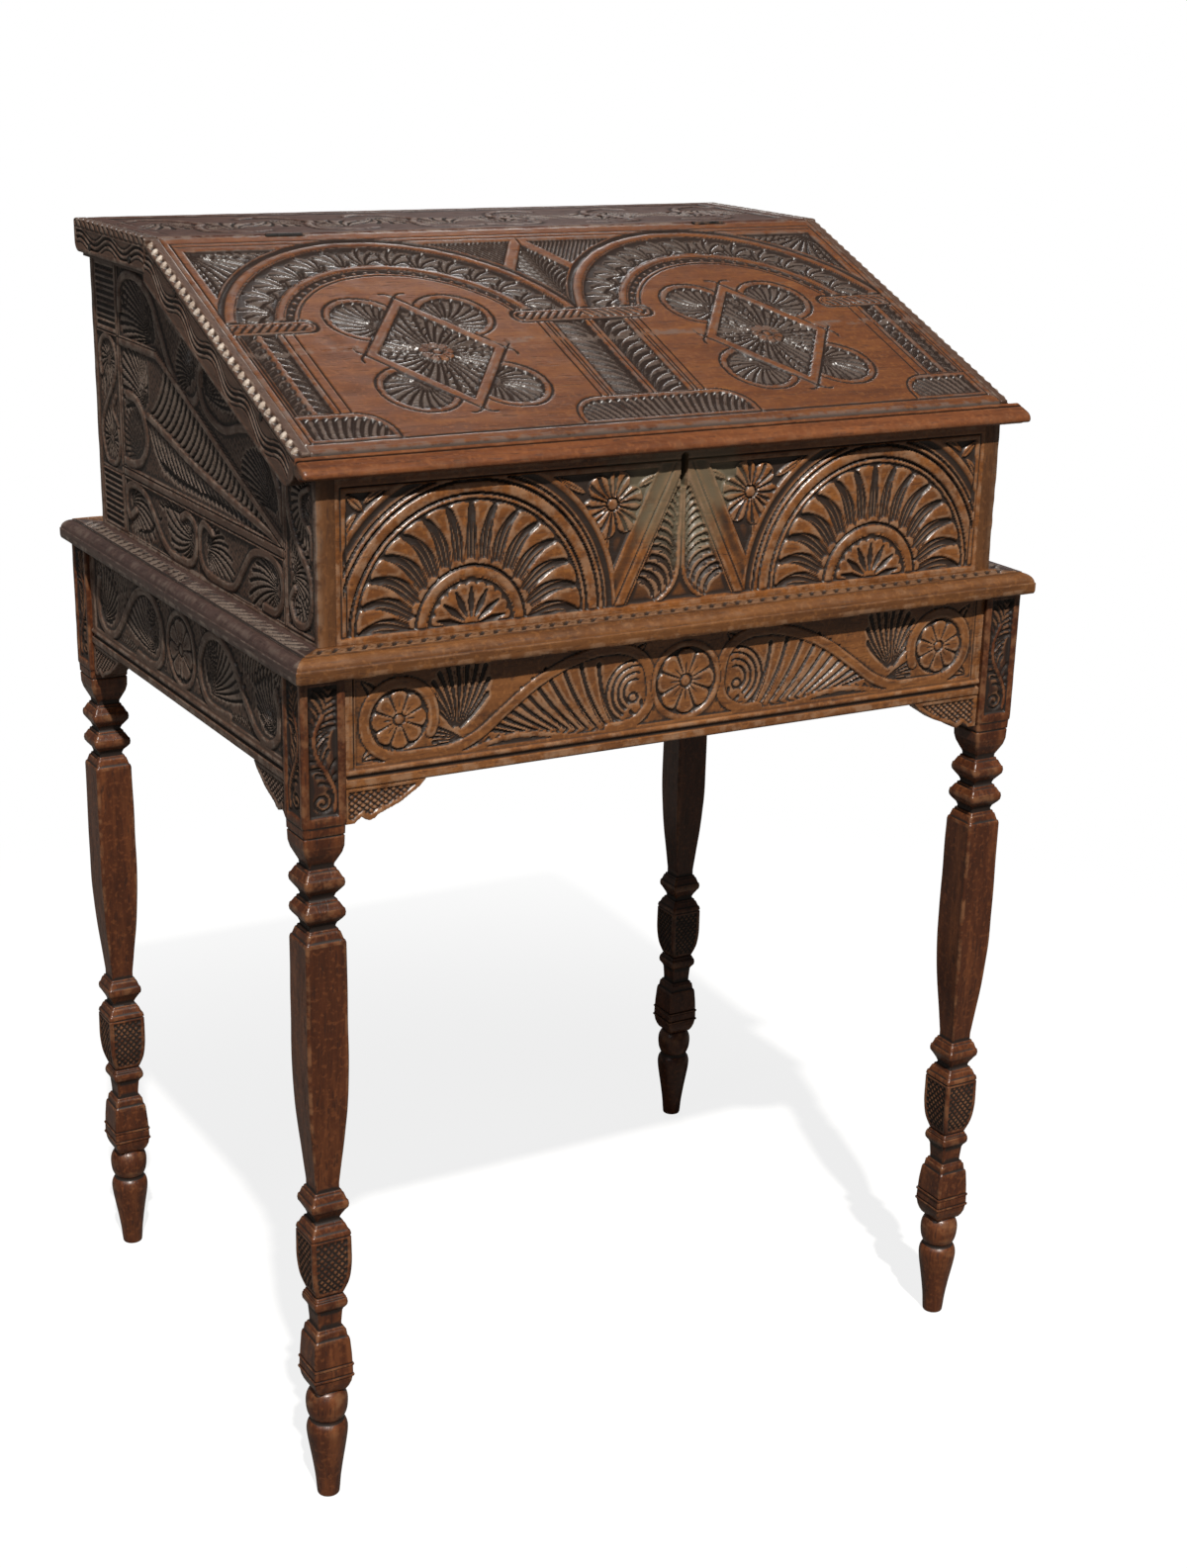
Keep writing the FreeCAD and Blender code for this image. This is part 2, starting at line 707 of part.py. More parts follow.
def base_plate(low, high, rounded):
    """Sunk ground of a pilaster's base, with one or both of its upper corners rounded."""
    shape = box_plate(low, high)
    edges = [e for e in shape.Edges
             if all(abs(v.Point.y - high[1]) < joint_gap for v in e.Vertexes)
             and abs(e.Vertexes[0].Point.x - e.Vertexes[1].Point.x) < joint_gap
             and any(abs(e.Vertexes[0].Point.x - x) < joint_gap for x in rounded)]
    return shape.makeFillet(base_round_share * (high[1] - low[1]), edges)


def lid_grounds():
    """Sunk grounds of one half of the lid: arch, corners, columns, base and lozenge."""
    size = (lid_side, slope_length)
    arch = at_shares([arch_middle_shares], size)[0]
    clear = disc(arch, arch_clear_share * lid_side)
    spring = arch_spring_share * slope_length
    ring = disc(arch, arch_outer_share * lid_side).cut(disc(arch, arch_inner_share * lid_side))
    above = box_plate((0, spring), (lid_side - overrun, slope_length))
    column_low, column_high = (share * slope_length for share in column_height_shares)
    base_low, base_high = (share * slope_length for share in base_height_shares)
    middle = at_shares([lozenge_middle_shares], size)[0]
    inner = at_shares([lozenge_inner_shares], size)[0]
    outer = lozenge(middle, at_shares([lozenge_outer_shares], size)[0])
    lobe = at_shares([lobe_place_shares], size)[0]
    side_base = [share * lid_side for share in side_base_shares]
    grounds = [ring.common(above),
               box_plate(*at_shares(corner_field_shares, size)).cut(clear),
               plate(at_shares(diamond_shares, size)).cut(clear),
               plate(at_shares(hatched_shares, size)).cut(clear),
               lozenge(middle, inner),
               base_plate((side_base[0], base_low), (side_base[1], base_high), side_base[:1])]
    grounds += [box_plate((start * lid_side, column_low), (end * lid_side, column_high))
                for start, end in column_shares]
    grounds += [disc((middle[0] + x * lobe[0], middle[1] + y * lobe[1]), lobe_share * lid_side).cut(outer)
                for x in (-1, 1) for y in (-1, 1)]
    return grounds


def lid_carving():
    """Cutters for the main carving of the lid, laid on its slope."""
    half = Part.makeCompound(lid_grounds())
    base = middle_base_share * lid_side
    base_low, base_high = (share * slope_length for share in base_height_shares)
    whole = [half, half.mirror(V(0, 0, 0), V(1, 0, 0)),
             base_plate((-base, base_low), (base, base_high), (-base, base))]
    shape = Part.makeCompound(whole)
    y, z = slope_point(slope_length, 0)
    shape.Placement = FreeCAD.Placement(V(0, y, z), FreeCAD.Rotation(V(1, 0, 0),
                                                                     math.degrees(slope_angle)))
    return shape


def side_carving(side):
    """Cutters for the main carving of a side board, laid on its outer face."""
    size = (box_back - box_front, ledge_under - stand_height)
    grounds = [box_plate(*at_shares(corners, size)) for corners in side_box_shares]
    grounds += [plate(at_shares(points, size))
                for points in (long_leaf_shares, upper_leaf_shares, front_strip_shares)]
    bands = [band_plate(at_shares(points, size), side_band_width) for points in side_band_shares]
    bands.append(band_plate(at_shares(rear_band_shares, size), rear_band_width))
    shape = Part.makeCompound([cut_all(ground, bands) for ground in grounds])
    turn = FreeCAD.Rotation(V(0, -1, 0), V(0, 0, 1), V(-1, 0, 0), "XYZ")
    shape.Placement = FreeCAD.Placement(V(-box_side, box_back, stand_height), turn)
    return shape if side < 0 else shape.mirror(V(0, 0, 0), V(1, 0, 0))


def hinge_centre():
    return joint_point(hinge_axis_drop, 0)


def hinge_notches():
    """Room for the knuckles, cut in the ledge and in the lid alike."""
    half = hinge_width / 2 + pin_head_height + notch_clearance
    radius = hinge_knuckle_radius + notch_clearance
    return [cylinder_x(radius, x - half, x + half, hinge_centre())
            for x in (-hinge_place, hinge_place)]


def leaf_plate(x, side):
    """Flat leaf beside the joint: side 1 on the ledge, side -1 on the lid."""
    near = side * joint_gap / 2
    far = near + side * hinge_leaf_thickness
    low = hinge_axis_drop + hinge_leaf_depth
    outline = [joint_point(hinge_axis_drop, near), joint_point(hinge_axis_drop, far),
               joint_point(low, far), joint_point(low, near)]
    return prism_x(outline, x - hinge_width / 2, x + hinge_width / 2)


def knuckle_spans(x):
    """Places along the pin of the two fixed knuckles and of the lid's knuckle between them."""
    third = hinge_width / 3
    low = x - hinge_width / 2
    fixed = [(low, low + third), (low + 2 * third, low + hinge_width)]
    return fixed, (low + third + knuckle_gap, low + 2 * third - knuckle_gap)


def hinge_leaf(x, side, nails):
    """Leaf with its knuckles, bored for the pin."""
    fixed, moving = knuckle_spans(x)
    own = fixed if side == 1 else [moving]
    other = [moving] if side == 1 else fixed
    shape = leaf_plate(x, side)
    clear = hinge_knuckle_radius + notch_clearance
    for low, high in other:
        shape = shape.cut(cylinder_x(clear, low - knuckle_gap, high + knuckle_gap, hinge_centre()))
    for low, high in own:
        knuckle = cylinder_x(hinge_knuckle_radius, low, high, hinge_centre())
        shape = shape.fuse(knuckle)
    bore = cylinder_x(hinge_pin_radius + pin_clearance, x - hinge_width, x + hinge_width,
                      hinge_centre())
    return cut_all(shape, [bore] + nails).removeSplitter()


def hinge_pin(x):
    """Pin with a peened head at each end."""
    half = hinge_width / 2
    centre = hinge_centre()
    return fuse_all([cylinder_x(hinge_pin_radius, x - half, x + half, centre),
                     cylinder_x(pin_head_radius, x - half - pin_head_height, x - half, centre),
                     cylinder_x(pin_head_radius, x + half, x + half + pin_head_height, centre)])


def hinge_nails(x, side):
    """Two nails through a leaf into the edge of the board behind it."""
    drop = hinge_axis_drop + hinge_leaf_depth * (1 + nail_pair_shares[0]) / 2
    y, z = joint_point(drop, side * joint_gap / 2)
    half = slope_angle / 2
    way = (0, side * math.cos(half), side * math.sin(half))
    places = [x - hinge_width / 2 + hinge_width * share for share in nail_pair_shares]
    return [small_nail((place, y, z), way) for place in places]


def ledge_face_cut():
    """Everything in front of the ledge's mitred front edge, with its eased upper arris."""
    gap = joint_gap / 2
    size = overall_height
    front = [joint_point(-size, gap), joint_point(size, gap), joint_point(size, -size),
             joint_point(-size, -size)]
    cutter = prism_x(front, -past_side, past_side)
    return [cutter, arris_cut(1)]


def lid_face_cut():
    """Everything behind the lid's mitred back edge, with its eased upper arris."""
    gap = -joint_gap / 2
    size = overall_height
    behind = [joint_point(-size, gap), joint_point(size, gap), joint_point(size, size),
              joint_point(-size, size)]
    return [prism_x(behind, -past_side, past_side), arris_cut(-1)]


def arris_cut(side):
    """Three-sided cut along the upper arris of the joint, on one side of it."""
    corner = joint_point(-lid_arris, 0)
    low = joint_point(lid_arris, 0)
    away = joint_point(-lid_arris, side * 2 * lid_arris)
    return prism_x([corner, low, away], -past_side, past_side)


def ledge_board(nails):
    """Flat top board of the box, behind the break."""
    board = block((-lid_side, break_y - overrun, ledge_under), (lid_side, box_back, overall_height))
    leaves = [leaf_plate(x, 1) for x in (-hinge_place, hinge_place)]
    return cut_all(board, ledge_face_cut() + hinge_notches() + leaves + nails)


def ledge_cap(side, nails):
    """End cap of the ledge: rounded upper edge, rounded lower back corner."""
    ends = sorted((side * lid_side, side * outer_side))
    low = overall_height - cap_depth
    shape = block((ends[0], break_y - overrun, low), (ends[1], box_back, overall_height))
    back_edges = [e for e in shape.Edges
                  if all(abs(v.Point.y - box_back) < joint_gap and abs(v.Point.z - low) < joint_gap
                         for v in e.Vertexes)]
    shape = shape.makeFillet(cap_corner_radius, back_edges)
    shape = shape.makeFillet(edge_round, outer_top_edges(shape, side))
    return cut_all(shape, ledge_face_cut() + nails)


def outer_top_edges(shape, side):
    """Straight upper edge on a cap's outer face."""
    return [e for e in shape.Edges
            if all(abs(v.Point.x - side * outer_side) < joint_gap
                   and abs(v.Point.z - overall_height) < joint_gap for v in e.Vertexes)]


def side_fillets():
    """Thin pale strips on the side boards, under the ledge's caps."""
    low = overall_height - cap_depth - fillet_height
    shapes = []
    for side in (-1, 1):
        ends = sorted((side * box_side, side * (box_side + fillet_depth)))
        shapes.append(block((ends[0], break_y + fillet_front_gap + cap_depth * slope_angle / 2, low),
                            (ends[1], box_back - cap_corner_radius, low + fillet_height)))
    return shapes


def lid_board(nails):
    """Sloping lid board, with a quirk and a rounded band along its front."""
    front = slope_length - nosing_back
    outline = [slope_point(-overrun, 0), slope_point(front, 0), slope_point(front, -lid_thickness),
               slope_point(-overrun, -lid_thickness)]
    board = prism_x(outline, -lid_side, lid_side)
    band = front - band_width
    quirk = [slope_point(band, 0), slope_point(band - panel_quirk_width, 0),
             slope_point(band - panel_quirk_width, -panel_quirk_depth),
             slope_point(band, -panel_quirk_depth)]
    ease = [slope_point(front, 0), slope_point(front, -band_round), slope_point(front - band_round, 0)]
    leaves = [leaf_plate(x, -1) for x in (-hinge_place, hinge_place)]
    cutters = [prism_x(quirk, -lid_side, lid_side), prism_x(ease, -lid_side, lid_side)]
    return cut_all(board, cutters + lid_face_cut() + hinge_notches() + leaves + nails + [lid_carving()])


def lid_cleat(side, nails):
    """Deep cleat at one end of the lid, with a row of beads along its upper outer arris."""
    ends = sorted((side * lid_side, side * outer_side))
    front = slope_length - nosing_back
    centre = slope_point(front - cleat_front_radius, -cleat_depth + cleat_front_radius)
    outline = [slope_point(-cleat_depth, 0), slope_point(front, 0), slope_point(front, -cleat_depth),
               slope_point(-cleat_depth, -cleat_depth)]
    shape = prism_x(outline, ends[0], ends[1])
    corner = [slope_point(front - cleat_front_radius, -cleat_depth + cleat_front_radius),
              slope_point(front, -cleat_depth + cleat_front_radius),
              slope_point(front, -cleat_depth), slope_point(front - cleat_front_radius, -cleat_depth)]
    square = prism_x(corner, ends[0], ends[1])
    rounding = square.cut(cylinder_x(cleat_front_radius, ends[0], ends[1], centre))
    seat_ends = sorted((side * (outer_side - bead_seat), side * outer_side))
    seat = [slope_point(-cleat_depth, 0), slope_point(front, 0), slope_point(front, -bead_seat),
            slope_point(-cleat_depth, -bead_seat)]
    shape = shape.cut(rounding).cut(prism_x(seat, seat_ends[0], seat_ends[1]))
    shape = fuse_all([shape] + [bead(side, middle) for middle in bead_places()])
    return cut_all(shape, lid_face_cut() + nails)


def bead_places():
    """Distances down the slope of the middles of the beads."""
    span = slope_length - nosing_back - 2 * bead_margin
    return [bead_margin + span * number / (bead_count - 1) for number in range(bead_count)]


def bead(side, down):
    """One bead on a cleat's upper outer arris, a little lower than the lid and the cleat's face."""
    middle = bead_radius + bead_inset
    y, z = slope_point(down, -middle)
    return Part.makeSphere(bead_radius, V(side * (outer_side - middle), y, z))


def lid_nosing():
    """Moulded strip across the front of the lid and past the ends of both cleats."""
    back = slope_length - nosing_back
    front = slope_length + nosing_projection
    mid_depth = (nosing_step + lid_thickness) / 2
    radius_low = slope_point(front - (lid_thickness - nosing_step) * nosing_nose_share, -lid_thickness)
    top_end = slope_point(front - (lid_thickness - nosing_step) * nosing_nose_share, -nosing_step)
    nose = slope_point(front, -mid_depth)
    start = slope_point(back, -nosing_step)
    end = slope_point(back, -lid_thickness)

    def at(point):
        return V(nosing_ends[0], point[0], point[1])

    edges = [Part.LineSegment(at(start), at(top_end)).toShape(),
             Part.Arc(at(top_end), at(nose), at(radius_low)).toShape(),
             Part.LineSegment(at(radius_low), at(end)).toShape(),
             Part.LineSegment(at(end), at(start)).toShape()]
    return Part.Face(Part.Wire(edges)).extrude(V(nosing_ends[1] - nosing_ends[0], 0, 0))


def bolt_centre():
    """Middle of the bolt's section, in the middle of the staple's eye."""
    return slope_point(slope_length - staple_setback, -lid_thickness - staple_eye_depth)


def lock_case(nails):
    """Iron tray on the inside of the front board, with two guides for the bolt."""
    front = box_front + board_thickness
    top = slope_under_z(front) - lock_top_drop
    low = top - lock_height
    half = lock_width / 2
    back = front + lock_reach
    tray = block((-half, front, low), (half, back, top))
    hollow = block((-half + lock_wall, front, low + lock_wall),
                   (half - lock_wall, back - lock_wall, top - lock_wall))
    tray = tray.cut(hollow)
    slot = block((staple_place - lock_slot_width / 2, front, top - 2 * lock_wall),
                 (staple_place + lock_slot_width / 2, back - lock_wall, top + lock_wall))
    tray = tray.cut(slot)
    flanges = [block((side_low, front, low), (side_low + lock_flange, front + lock_wall, top))
               for side_low in (-half - lock_flange, half)]
    y, z = bolt_centre()
    guides = []
    for share in guide_share_pair:
        place = bolt_rest_tip - bolt_length * (1 - share)
        guides.append(block((place - guide_length / 2, y - bolt_depth / 2 - guide_wall,
                             z - bolt_height / 2 - guide_wall),
                            (place + guide_length / 2, back - lock_wall,
                             z + bolt_height / 2 + guide_wall)))
    shape = fuse_all([tray] + flanges + guides)
    run = block((bolt_rest_tip - bolt_length - bolt_clearance,
                 y - bolt_depth / 2 - bolt_clearance, z - bolt_height / 2 - bolt_clearance),
                (bolt_rest_tip + bolt_throw + bolt_clearance,
                 y + bolt_depth / 2 + bolt_clearance, z + bolt_height / 2 + bolt_clearance))
    return cut_all(shape, [run] + nails)


def lock_bolt():
    """Sliding bolt with a talon for the key in its lower edge."""
    y, z = bolt_centre()
    bar = block((bolt_rest_tip - bolt_length, y - bolt_depth / 2, z - bolt_height / 2),
                (bolt_rest_tip, y + bolt_depth / 2, z + bolt_height / 2))
    talon = Part.makeCylinder(bolt_talon_radius, bolt_depth,
                              V(bolt_rest_tip - bolt_length * bolt_talon_share, y - bolt_depth / 2,
                                z - bolt_height / 2), V(0, 1, 0))
    return bar.cut(talon)


def lock_nails():
    """Four nails through the lock's flanges into the front board."""
    front = box_front + board_thickness
    top = slope_under_z(front) - lock_top_drop
    y = front + lock_wall
    shapes = []
    for side in (-1, 1):
        x = side * (lock_width + lock_flange) / 2
        for share in nail_pair_shares:
            shapes.append(small_nail((x, y, top - lock_height * share), (0, -1, 0)))
    return shapes


def staple(nails):
    """Staple under the lid: a plate with a flat tongue, pierced for the bolt."""
    middle = slope_length - staple_setback
    low = -lid_thickness - staple_eye_depth
    half = staple_plate_depth / 2
    plate = [slope_point(middle - half, -lid_thickness), slope_point(middle + half, -lid_thickness),
             slope_point(middle + half, -lid_thickness - staple_plate_thickness),
             slope_point(middle - half, -lid_thickness - staple_plate_thickness)]
    plate = prism_x(plate, staple_place - staple_plate_width / 2,
                    staple_place + staple_plate_width / 2)
    reach = staple_eye_width / 2 + staple_rim
    tip = low - staple_eye_length / 2 - staple_rim
    tongue = [slope_point(middle - reach, -lid_thickness), slope_point(middle + reach, -lid_thickness),
              slope_point(middle + reach, tip), slope_point(middle - reach, tip)]
    eye = [slope_point(middle + a * staple_eye_width / 2, low + b * staple_eye_length / 2)
           for a, b in ((-1, 1), (1, 1), (1, -1), (-1, -1))]
    ends = (staple_place - staple_thickness / 2, staple_place + staple_thickness / 2)
    shape = plate.fuse(prism_x(tongue, ends[0], ends[1])).cut(prism_x(eye, ends[0], ends[1]))
    return cut_all(shape, nails).removeSplitter()


def staple_nails():
    """Two nails up through the staple's plate into the lid."""
    way = (0, -math.sin(slope_angle), math.cos(slope_angle))
    y, z = slope_point(slope_length - staple_setback, -lid_thickness - staple_plate_thickness)
    left = staple_place - staple_plate_width / 2
    return [small_nail((left + staple_plate_width * share, y, z), way) for share in nail_pair_shares]


def cap_nails(side):
    """Nails through an end cap into the side board."""
    z = ledge_under - (cap_depth - lid_thickness) / 2
    return [nail((side * outer_side, break_y + ledge_depth * share, z), (-side, 0, 0))
            for share in nail_pair_shares]


def cleat_nails(side):
    """Nails through a cleat into the end of the lid board."""
    shapes = []
    for share in nail_pair_shares:
        y, z = slope_point(slope_length * share, -(lid_thickness + bead_seat) / 2)
        shapes.append(nail((side * outer_side, y, z), (-side, 0, 0)))
    return shapes


def ledge_nails():
    """Nails down through the ledge board into the side boards."""
    x = box_side - board_thickness / 2
    return [nail((side * x, break_y + ledge_depth * share, overall_height), (0, 0, -1))
            for side in (-1, 1) for share in ledge_nail_shares]


def build():
    peg_shapes = pegs()
    apron_shapes = aprons()
    for side_x, x_name in ((-1, "left"), (1, "right")):
        for side_y, y_name in ((-1, "front"), (1, "back")):
            shape = cut_all(leg(side_x, side_y), list(apron_shapes.values()) + peg_shapes)
            keep("leg_%s_%s" % (y_name, x_name), shape)
    bracket_shapes, bracket_nails = brackets_and_nails()
    for name, shape in apron_shapes.items():
        keep(name, cut_all(shape, peg_shapes + bracket_nails))
    for name, shape in bracket_shapes.items():
        keep(name, shape)
    keep("bracket_nails", Part.makeCompound(bracket_nails))
    keep("tenon_pegs", Part.makeCompound(peg_shapes))
    keep("glue_blocks", Part.makeCompound(glue_blocks()))
    front_half, back_half = stand_top()
    keep("stand_top_front", front_half)
    keep("stand_top_back", back_half)

    caps = {side: cap_nails(side) for side in (-1, 1)}
    cleats = {side: cleat_nails(side) for side in (-1, 1)}
    down_nails = ledge_nails()
    case_nails = lock_nails()
    tongue_nails = staple_nails()
    keep("box_front", cut_all(front_board(), case_nails))
    keep("box_back", back_board())
    keep("box_bottom", bottom_board())
    for side, name in ((-1, "left"), (1, "right")):
        keep("box_side_" + name, cut_all(side_board(side), caps[side] + down_nails))
    fixed_nails = [n for x in (-hinge_place, hinge_place) for n in hinge_nails(x, 1)]
    lid_nails = [n for x in (-hinge_place, hinge_place) for n in hinge_nails(x, -1)]
    keep("ledge_board", ledge_board(down_nails + fixed_nails))
    keep("lid_board", lid_board(lid_nails + tongue_nails + cleats[-1] + cleats[1]))
    for side, name in ((-1, "left"), (1, "right")):
        keep("ledge_cap_" + name, ledge_cap(side, caps[side]))
        keep("lid_cleat_" + name, lid_cleat(side, cleats[side]))
        x = side * hinge_place
        keep("hinge_%s_box_leaf" % name, hinge_leaf(x, 1, hinge_nails(x, 1)))
        keep("hinge_%s_lid_leaf" % name, hinge_leaf(x, -1, hinge_nails(x, -1)))
        keep("hinge_%s_pin" % name, hinge_pin(x))
    keep("side_fillets", Part.makeCompound(side_fillets()))
    keep("lid_nosing", lid_nosing())
    keep("lock_case", lock_case(case_nails))
    keep("lock_bolt", lock_bolt())
    keep("lock_nails", Part.makeCompound(case_nails))
    keep("lid_staple", staple(tongue_nails))
    keep("lid_staple_nails", Part.makeCompound(tongue_nails))
    keep("ledge_nails", Part.makeCompound(down_nails))
    keep("cap_nails", Part.makeCompound(caps[-1] + caps[1]))
    keep("cleat_nails", Part.makeCompound(cleats[-1] + cleats[1]))
    keep("hinge_nails_box", Part.makeCompound(fixed_nails))
    keep("hinge_nails_lid", Part.makeCompound(lid_nails))


def save():
    os.makedirs("parts", exist_ok=True)
    for name, shape in parts.items():
        if not shape.isValid():
            print("not valid:", name)
        shape.exportStep("parts/%s.step" % name)
    print(len(parts), "parts", sum(len(shape.Solids) for shape in parts.values()), "solids")


build()
save()
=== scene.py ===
"""Looks of a carved oak bible box on its stand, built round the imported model.

Meshes are in metres in the model's frame: X to the right, the front towards -Y, Z up.
Carving is laid out in millimetres on each face, and its depth is counted into the wood.
"""

import json
import math

import bmesh
import bpy
import numpy as np
from mathutils import Matrix, Vector


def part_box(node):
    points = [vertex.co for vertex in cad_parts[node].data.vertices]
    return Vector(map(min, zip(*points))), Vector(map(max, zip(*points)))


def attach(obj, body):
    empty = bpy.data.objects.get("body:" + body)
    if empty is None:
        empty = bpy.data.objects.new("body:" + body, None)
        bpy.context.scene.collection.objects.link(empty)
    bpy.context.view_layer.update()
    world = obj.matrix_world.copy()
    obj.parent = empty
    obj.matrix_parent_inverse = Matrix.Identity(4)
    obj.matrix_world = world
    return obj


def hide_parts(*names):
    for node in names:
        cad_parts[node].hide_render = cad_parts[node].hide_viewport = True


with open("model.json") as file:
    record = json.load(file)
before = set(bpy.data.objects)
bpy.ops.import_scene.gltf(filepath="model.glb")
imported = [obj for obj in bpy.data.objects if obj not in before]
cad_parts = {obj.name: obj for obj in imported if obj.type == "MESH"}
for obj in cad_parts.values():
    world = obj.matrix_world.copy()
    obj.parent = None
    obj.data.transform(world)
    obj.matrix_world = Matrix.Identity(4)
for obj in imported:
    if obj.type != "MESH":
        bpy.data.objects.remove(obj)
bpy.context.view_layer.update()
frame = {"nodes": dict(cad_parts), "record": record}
nodes = frame["nodes"]

MM = 0.001
MESH_STEP = 1.1
FULL_TURN = 360.0
BOW_STEPS = 8
WAVE_COUNT, WAVE_SCALE = 14, 5.0
EVERYWHERE = slice(None)

# In millimetres: how far in from an edge counts as unworn, the wear of an arris, and the depth of a
# cut that is fully dark
FAR_IN = 9.0
ARRIS_WEAR = 0.9
FULL_CUT = 3.0

# Rounds of smoothing that a point is held against, the millimetres past it that are fully proud, and
# the degrees of a corner that stays crisp
SMOOTH_ROUNDS = 9
FULLY_PROUD = 0.35
CRISP_ANGLE = 66

# Sizes of the box that its faces are laid out by, in millimetres
BOARD_THICKNESS = 16.0
LID_THICKNESS = 15.0
TONGUE = 5.0
TONGUE_THICKNESS = 8.0
BOTTOM_LOW = 4.0
BOTTOM_HIGH = 16.0
SLOPE_DROP = 126.0
SLOPE_RUN = 312.0


def corner_mm(node):
    """Lowest and highest corners of a node of the model, in millimetres."""
    low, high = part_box(node)
    return np.array(low) / MM, np.array(high) / MM


ledge_high = corner_mm("ledge_board")[1]
side_low, side_high = corner_mm("box_side_left")
cap_low = corner_mm("ledge_cap_left")[0]
top_low, top_high = corner_mm("stand_top_front")
BOX_HALF = -side_low[0]
LID_HALF = ledge_high[0]
CAP_HALF = -cap_low[0]
BOX_FRONT = side_low[1]
BOX_BACK = side_high[1]
BOX_FLOOR = side_low[2]
TOP_Z = ledge_high[2]
TOP_HALF = (top_high[0], -top_low[1])
SLOPE_ANGLE = math.atan2(SLOPE_DROP, SLOPE_RUN)
SLOPE_LENGTH = math.hypot(SLOPE_DROP, SLOPE_RUN)
BREAK_Y = BOX_FRONT + SLOPE_RUN - 2.0
LID_REST = 0.33


def slope_under(y):
    """Height of the tops of the box's boards under the lid, at a place from front to back."""
    return (TOP_Z - LID_THICKNESS / math.cos(SLOPE_ANGLE) - (BREAK_Y - y) * math.tan(SLOPE_ANGLE)
            - LID_REST)


# Paths on a face

def turned(degrees):
    """Unit step in a direction, in degrees anticlockwise from the face's right."""
    angle = math.radians(degrees)
    return np.array([math.cos(angle), math.sin(angle)])


def bow(root, heading, length, turn):
    """Path that leaves its root on a heading and turns evenly over its length."""
    points = [np.array(root, float)]
    for number in range(BOW_STEPS):
        way = turned(heading + turn * (number + 0.5) / BOW_STEPS)
        points.append(points[-1] + way * length / BOW_STEPS)
    return np.array(points)


def arc(centre, radius, start, end, count):
    """Part of a circle between two directions in degrees."""
    return np.array([np.array(centre) + radius * turned(start + (end - start) * share)
                     for share in np.linspace(0, 1, count)])


def smooth_path(*points, count=8):
    """Even curve through a few points."""
    knots = np.array([points[0], *points, points[-1]], float)
    result = []
    for first, start, end, last in zip(knots, knots[1:], knots[2:], knots[3:]):
        for t in np.linspace(0, 1, count, endpoint=False):
            result.append(0.5 * (2 * start + (end - first) * t
                                 + (2 * first - 5 * start + 4 * end - last) * t ** 2
                                 + (3 * start - first - 3 * end + last) * t ** 3))
    return np.array(result + [knots[-1]])


def half_ring(centre, radius, count=60):
    """Upper half of a circle."""
    return arc(centre, radius, 0, 180, count)


def ring(centre, radius, count):
    """Whole circle."""
    return arc(centre, radius, 0, FULL_TURN, count)


def path_spots(path, shares):
    """Points at shares of a path's length, with the path's heading there in degrees."""
    steps = np.diff(path, axis=0)
    runs = np.hypot(steps[:, 0], steps[:, 1])
    marks = np.concatenate([[0], np.cumsum(runs)])
    spots = []
    for share in shares:
        place = share * marks[-1]
        number = min(np.searchsorted(marks, place, side="right") - 1, len(runs) - 1)
        part = (place - marks[number]) / max(runs[number], 1e-9)
        spots.append((path[number] + steps[number] * part,
                      math.degrees(math.atan2(steps[number][1], steps[number][0]))))
    return spots


def held(share):
    """Share kept from 0 to 1."""
    return np.clip(share, 0, 1)


def least(*distances):
    """Distance inside several shapes at once."""
    return np.minimum.reduce(np.broadcast_arrays(*distances))


def eased(share):
    """Smooth step from nothing at 0 to all at 1."""
    share = held(share)
    return share * share * (3 - 2 * share)


